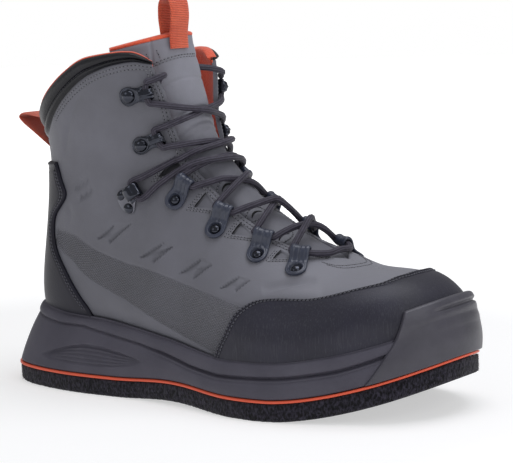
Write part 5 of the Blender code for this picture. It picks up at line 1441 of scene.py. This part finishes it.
def lock_plate_width(share, line):
    """Half width of the lock's plate: a rounded back over both rivets, narrowing towards the hook."""
    a = line[:, 0] + 0.001
    return np.where(a < 0, 0.0079 * np.sqrt(np.clip(1 - (a / 0.0044) ** 2, 0.02, 1)), 0.0079 - 0.0040 * ease(a / 0.007))


def block_width(share, line):
    """Half width of the lock's hook, a little narrower at its tip."""
    return 0.0041 - 0.0004 * ease((share - 0.8) / 0.2)


for side, label in ((-1, "outer"), (1, "inner")):
    for number, fitting in enumerate(LOOPS, 1):
        at, tag = (fitting, side), f"{label}_{number}"
        pressed(f"loop_{tag}", at, LOOP_PROFILE, loop_width, 0.0015, slate, f"lace_loop_{tag}", "moulded_loop",
                76, 30, loop_relief)
        dome(f"loop_rivet_{tag}", at, (0.0, 0.0), 0.0029, 0.0001, 0.0019, black_steel, "gunmetal")
    for number, fitting in enumerate(HOOKS, 1):
        at, tag = (fitting, side), f"{label}_{number}"
        pressed(f"hook_{tag}", at, HOOK_PROFILE, hook_width, 0.0013, black_steel, f"speed_hook_{tag}", "gunmetal",
                76, 28, hook_relief)
        dome(f"hook_rivet_{tag}", at, (0.0, 0.0), 0.0038, 0.0014, 0.0022, black_steel, "gunmetal")
        dome(f"hook_stud_{tag}", at, (0.0104, 0.0), 0.0013, 0.0013, 0.0008, rivet_steel, "gunmetal")
    at = LOCK, side
    pressed(f"lock_plate_{label}", at, LOCK_PLATE_PROFILE, lock_plate_width, 0.0011, gunmetal, f"lock_hook_{label}",
            "gunmetal", 60, 40, bevel=14)
    pressed(f"lock_block_{label}", at, LOCK_BLOCK_PROFILE, block_width, 0.0017, black_steel, None, "gunmetal",
            90, 30, bevel=5)
    for height, up_by in (("low", -0.0046), ("high", 0.0046)):
        dome(f"lock_rivet_{label}_{height}", at, (-0.0014, up_by), 0.0030, 0.0013, 0.0015, black_steel, "gunmetal")

# Lace: one round braided polyester lace, ribbed along its length, run through every fitting from a bar at the foot
LACE_DIAMETER, LACE_RIBS = 0.0037, 8
# each fitting with the place of the lace in its mouth: metres along it, off the last, and to either side
LEVELS = [(fitting, 0.0114, 0.0037, 0.0056) for fitting in LOOPS] + [(LOCK, 0.0090, 0.0043, 0.0056)]
LEVELS += [(fitting, 0.0108, 0.0037, 0.0062) for fitting in HOOKS]


def coarse(grid):
    """A thinned triangle tree of a grid, for resting the lace on."""
    thin = grid[::3, ::3]
    return BVHTree.FromPolygons(thin.reshape(-1, 3).tolist(), grid_quads(*thin.shape[:2]).reshape(-1, 4).tolist())


rests = coarse(tongue_front), coarse(upper_points[3:, 3 : MIDDLE - 3]), coarse(upper_points[3:, MIDDLE + 3 : -3])


LACE_PULLS = 90


def taut(start, end, lean, below=None):
    """A taut strand between two mouths: a chord pulled straight again and again, kept a radius off the leather.

    lean is the way out of the boot there, and a strand of below lies under this one."""
    t = np.linspace(0, 1, 25)[:, None]
    points = start * (1 - t) + end * t + lean * 0.014 * np.sin(pi * t)
    clear = LACE_DIAMETER / 2 + 0.0003
    for _ in range(LACE_PULLS):
        points[1:-1] += 0.5 * ((points[:-2] + points[2:]) / 2 - points[1:-1])
        for k in range(1, 24):
            for leather_tree in rests:
                spot, facing, _, far = leather_tree.find_nearest(points[k].tolist(), 0.012)
                if spot is None:
                    continue
                facing = np.array(facing) * (1.0 if np.array(facing) @ lean > 0 else -1.0)
                depth = (points[k] - np.array(spot)) @ facing
                if depth < clear and far < 0.009:
                    points[k] += facing * (clear - depth)
            if below is not None:
                near = np.linalg.norm(points[k] - below, axis=1).min()
                points[k] += lean * max(LACE_DIAMETER * 1.04 - near, 0.0) * 0.8
    return points[1:-1]


def run_up(side, others=None):
    """The lace's points from the lowest fitting on a side, crossing at each level, to the top hook; and its strands."""
    points, strands = [], []
    for k, (fitting, along_by, out, mouth) in enumerate(LEVELS):
        for ahead, beyond, drop in ((0.0006, -mouth, 0.0004), (0.0, 0.0, 0.0), (0.0006, mouth, 0.0004)):
            points.append(on_side(fitting, side, along_by + ahead, beyond, out - drop))
        if k + 1 < len(LEVELS):
            upper, along_next, out_next, mouth_next = LEVELS[k + 1]
            end = on_side(upper, -side, along_next + 0.0006, -mouth_next, out_next - 0.0004)
            lean = unit(normal(np.float64((fitting[0] + upper[0]) / 2), np.float64(0.0)))
            strand = taut(points[-1], end, lean, None if others is None else others[k])
            strands.append(strand)
            points += list(strand[::2])
            side = -side
    return points, strands


under_run, under_strands = run_up(1)
over_run, _ = run_up(-1, under_strands)
s0 = LEVELS[0][0][0]
bar = [skin(s0 - 0.016, radians(-12), 0.0024), skin(s0 - 0.017, 0.0, 0.0026), skin(s0 - 0.016, radians(12), 0.0024)]
lace_path = flow(over_run[::-1] + bar + under_run, 1240)


def braided(path):
    """Rings of a round lace along a path, with eight slowly twisted ribs, and the ribs' height at each point."""
    ahead = unit(np.gradient(path, axis=0))
    run = walked(path)
    across = [unit(np.cross(ahead[0], (0.0, 0.3, 1.0)))]
    for way in ahead[1:]:
        across.append(unit(across[-1] - way * np.dot(across[-1], way)))
    across = np.array(across)
    over = np.cross(ahead, across)
    angles = np.arange(32) * 2 * pi / 32
    rib = np.cos(LACE_RIBS * angles[None] + run[:, None] * 160.0)
    cross_rib = np.cos(run[:, None] * 2 * pi / 0.0013 + np.round(angles * LACE_RIBS / (2 * pi)) * pi)
    ends = rolled(np.minimum(run, run[-1] - run), 0.0012, 0.02)
    radius = LACE_DIAMETER / 2 * (0.96 + 0.075 * rib + 0.02 * cross_rib) * ends[:, None]
    sideways, outwards = (radius * np.cos(angles))[..., None], (radius * np.sin(angles))[..., None]
    grid = path[:, None] + across[:, None] * sideways + over[:, None] * outwards
    return grid, 0.5 + 0.42 * rib + 0.08 * cross_rib


# braided polyester, charcoal, with painted shade down between its ribs
lace_cloth = material("braided_lace", "#57535f", 0.62, Specular_IOR_Level=0.3, Sheen_Weight=0.08, Sheen_Roughness=0.4)
tree, shader, _, colour, _ = skin_detail(lace_cloth, "#3c3846", "#54505e", 2600.0, 0.00015, 260.0)
# painted shade: the colour goes near-black between the ribs
tree.links.new(blended(tree, point_value(tree, "rib"), hex_colour("#18161c"), colour), shader.inputs["Base Color"])
grid, rib = braided(lace_path)
piece("lace_run", grid, round_quads(grid), [lace_cloth],
      ["lace_bar"] + [f"lace_crossing_{number}" for number in range(1, 7)], "lace", values={"rib": rib})
# the tails: from the top hooks round the eyestay's edge and down behind the tongue's edges
fitting, along_by, out, mouth = LEVELS[-1]
LEAVING = ((0.0006, -0.0003, out - 0.0004), (0.0018, 0.0016, 0.0032), (0.0048, 0.0024, 0.0026))
TUCKED = {
    # share over the hook's, degrees past the throat's edge, height off the last
    "outer": ((0.011, 0.5, 0.0024), (0.009, -2.5, -0.0008), (0.001, 0.5, -0.0054),
              (-0.022, 2.5, -0.0056), (-0.062, 2.5, -0.0056)),
    "inner": ((0.011, 0.5, 0.0024), (0.009, -8.0, -0.0030), (0.006, -18.0, -0.0130), (0.002, -27.0, -0.0185),
              (-0.016, -33.0, -0.0195), (-0.066, -34.0, -0.0190)),
}
edge_turn = float(read(THROAT, fitting[0] + 0.01))
for side, label in ((-1, "outer"), (1, "inner")):
    points = [on_side(fitting, side, along_by + ahead, mouth + beyond, rise) for ahead, beyond, rise in LEAVING]
    points += [skin(fitting[0] + up_by, side * radians(edge_turn + turn_by), rise)
               for up_by, turn_by, rise in TUCKED[label]]
    path = flow(points, 110)
    grid, rib = braided(path)
    made = piece(f"lace_tail_{label}", grid, round_quads(grid), [lace_cloth], [f"lace_end_{label}"], "lace",
                 values={"rib": rib})

# Insole: a fleece-faced foam footbed
# short fleece over foam
insole_cloth = material("insole_cloth", "#33333a", 0.9, Sheen_Weight=0.3)
weave_nodes(insole_cloth, "#2c2c33", "#3c3c44", 900.0, 0.0003)
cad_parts["insole"].data.materials.clear()
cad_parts["insole"].data.materials.append(insole_cloth)

# Threads and needle holes of all the seams
THREADS = {"grey_thread": ("#717177", 0.6), "dark_thread": ("#4a4a52", 0.5), "counter_thread": ("#4e4e58", 0.55)}


def repeated(quads, points_each, count):
    """Quads of a small form, counted on for each of its copies."""
    return (quads[None] + (np.arange(count) * points_each)[:, None, None]).reshape(-1, 4)


for colour, rings in thread_parts.items():
    beads = np.concatenate([np.stack(rings[i : i + len(STITCH)], 1) for i in range(0, len(rings), len(STITCH))])
    quads = repeated(grid_quads(len(STITCH), 6, wrap=True).reshape(-1, 4), len(STITCH) * 6, len(beads))
    piece(colour, beads, quads, [material(colour, *THREADS[colour])], slot="dark_leather")
discs = np.concatenate(hole_parts)
disc_quads = np.concatenate([grid_quads(2, 6, wrap=True).reshape(-1, 4), [[0, 1, 2, 3], [0, 3, 4, 5]]])
# the dark inside of a needle hole
hole_shadow = material("hole_shadow", "#101013", 0.9)
piece("needle_holes", discs, repeated(disc_quads, 12, len(discs)), [hole_shadow], slot="dark_leather")
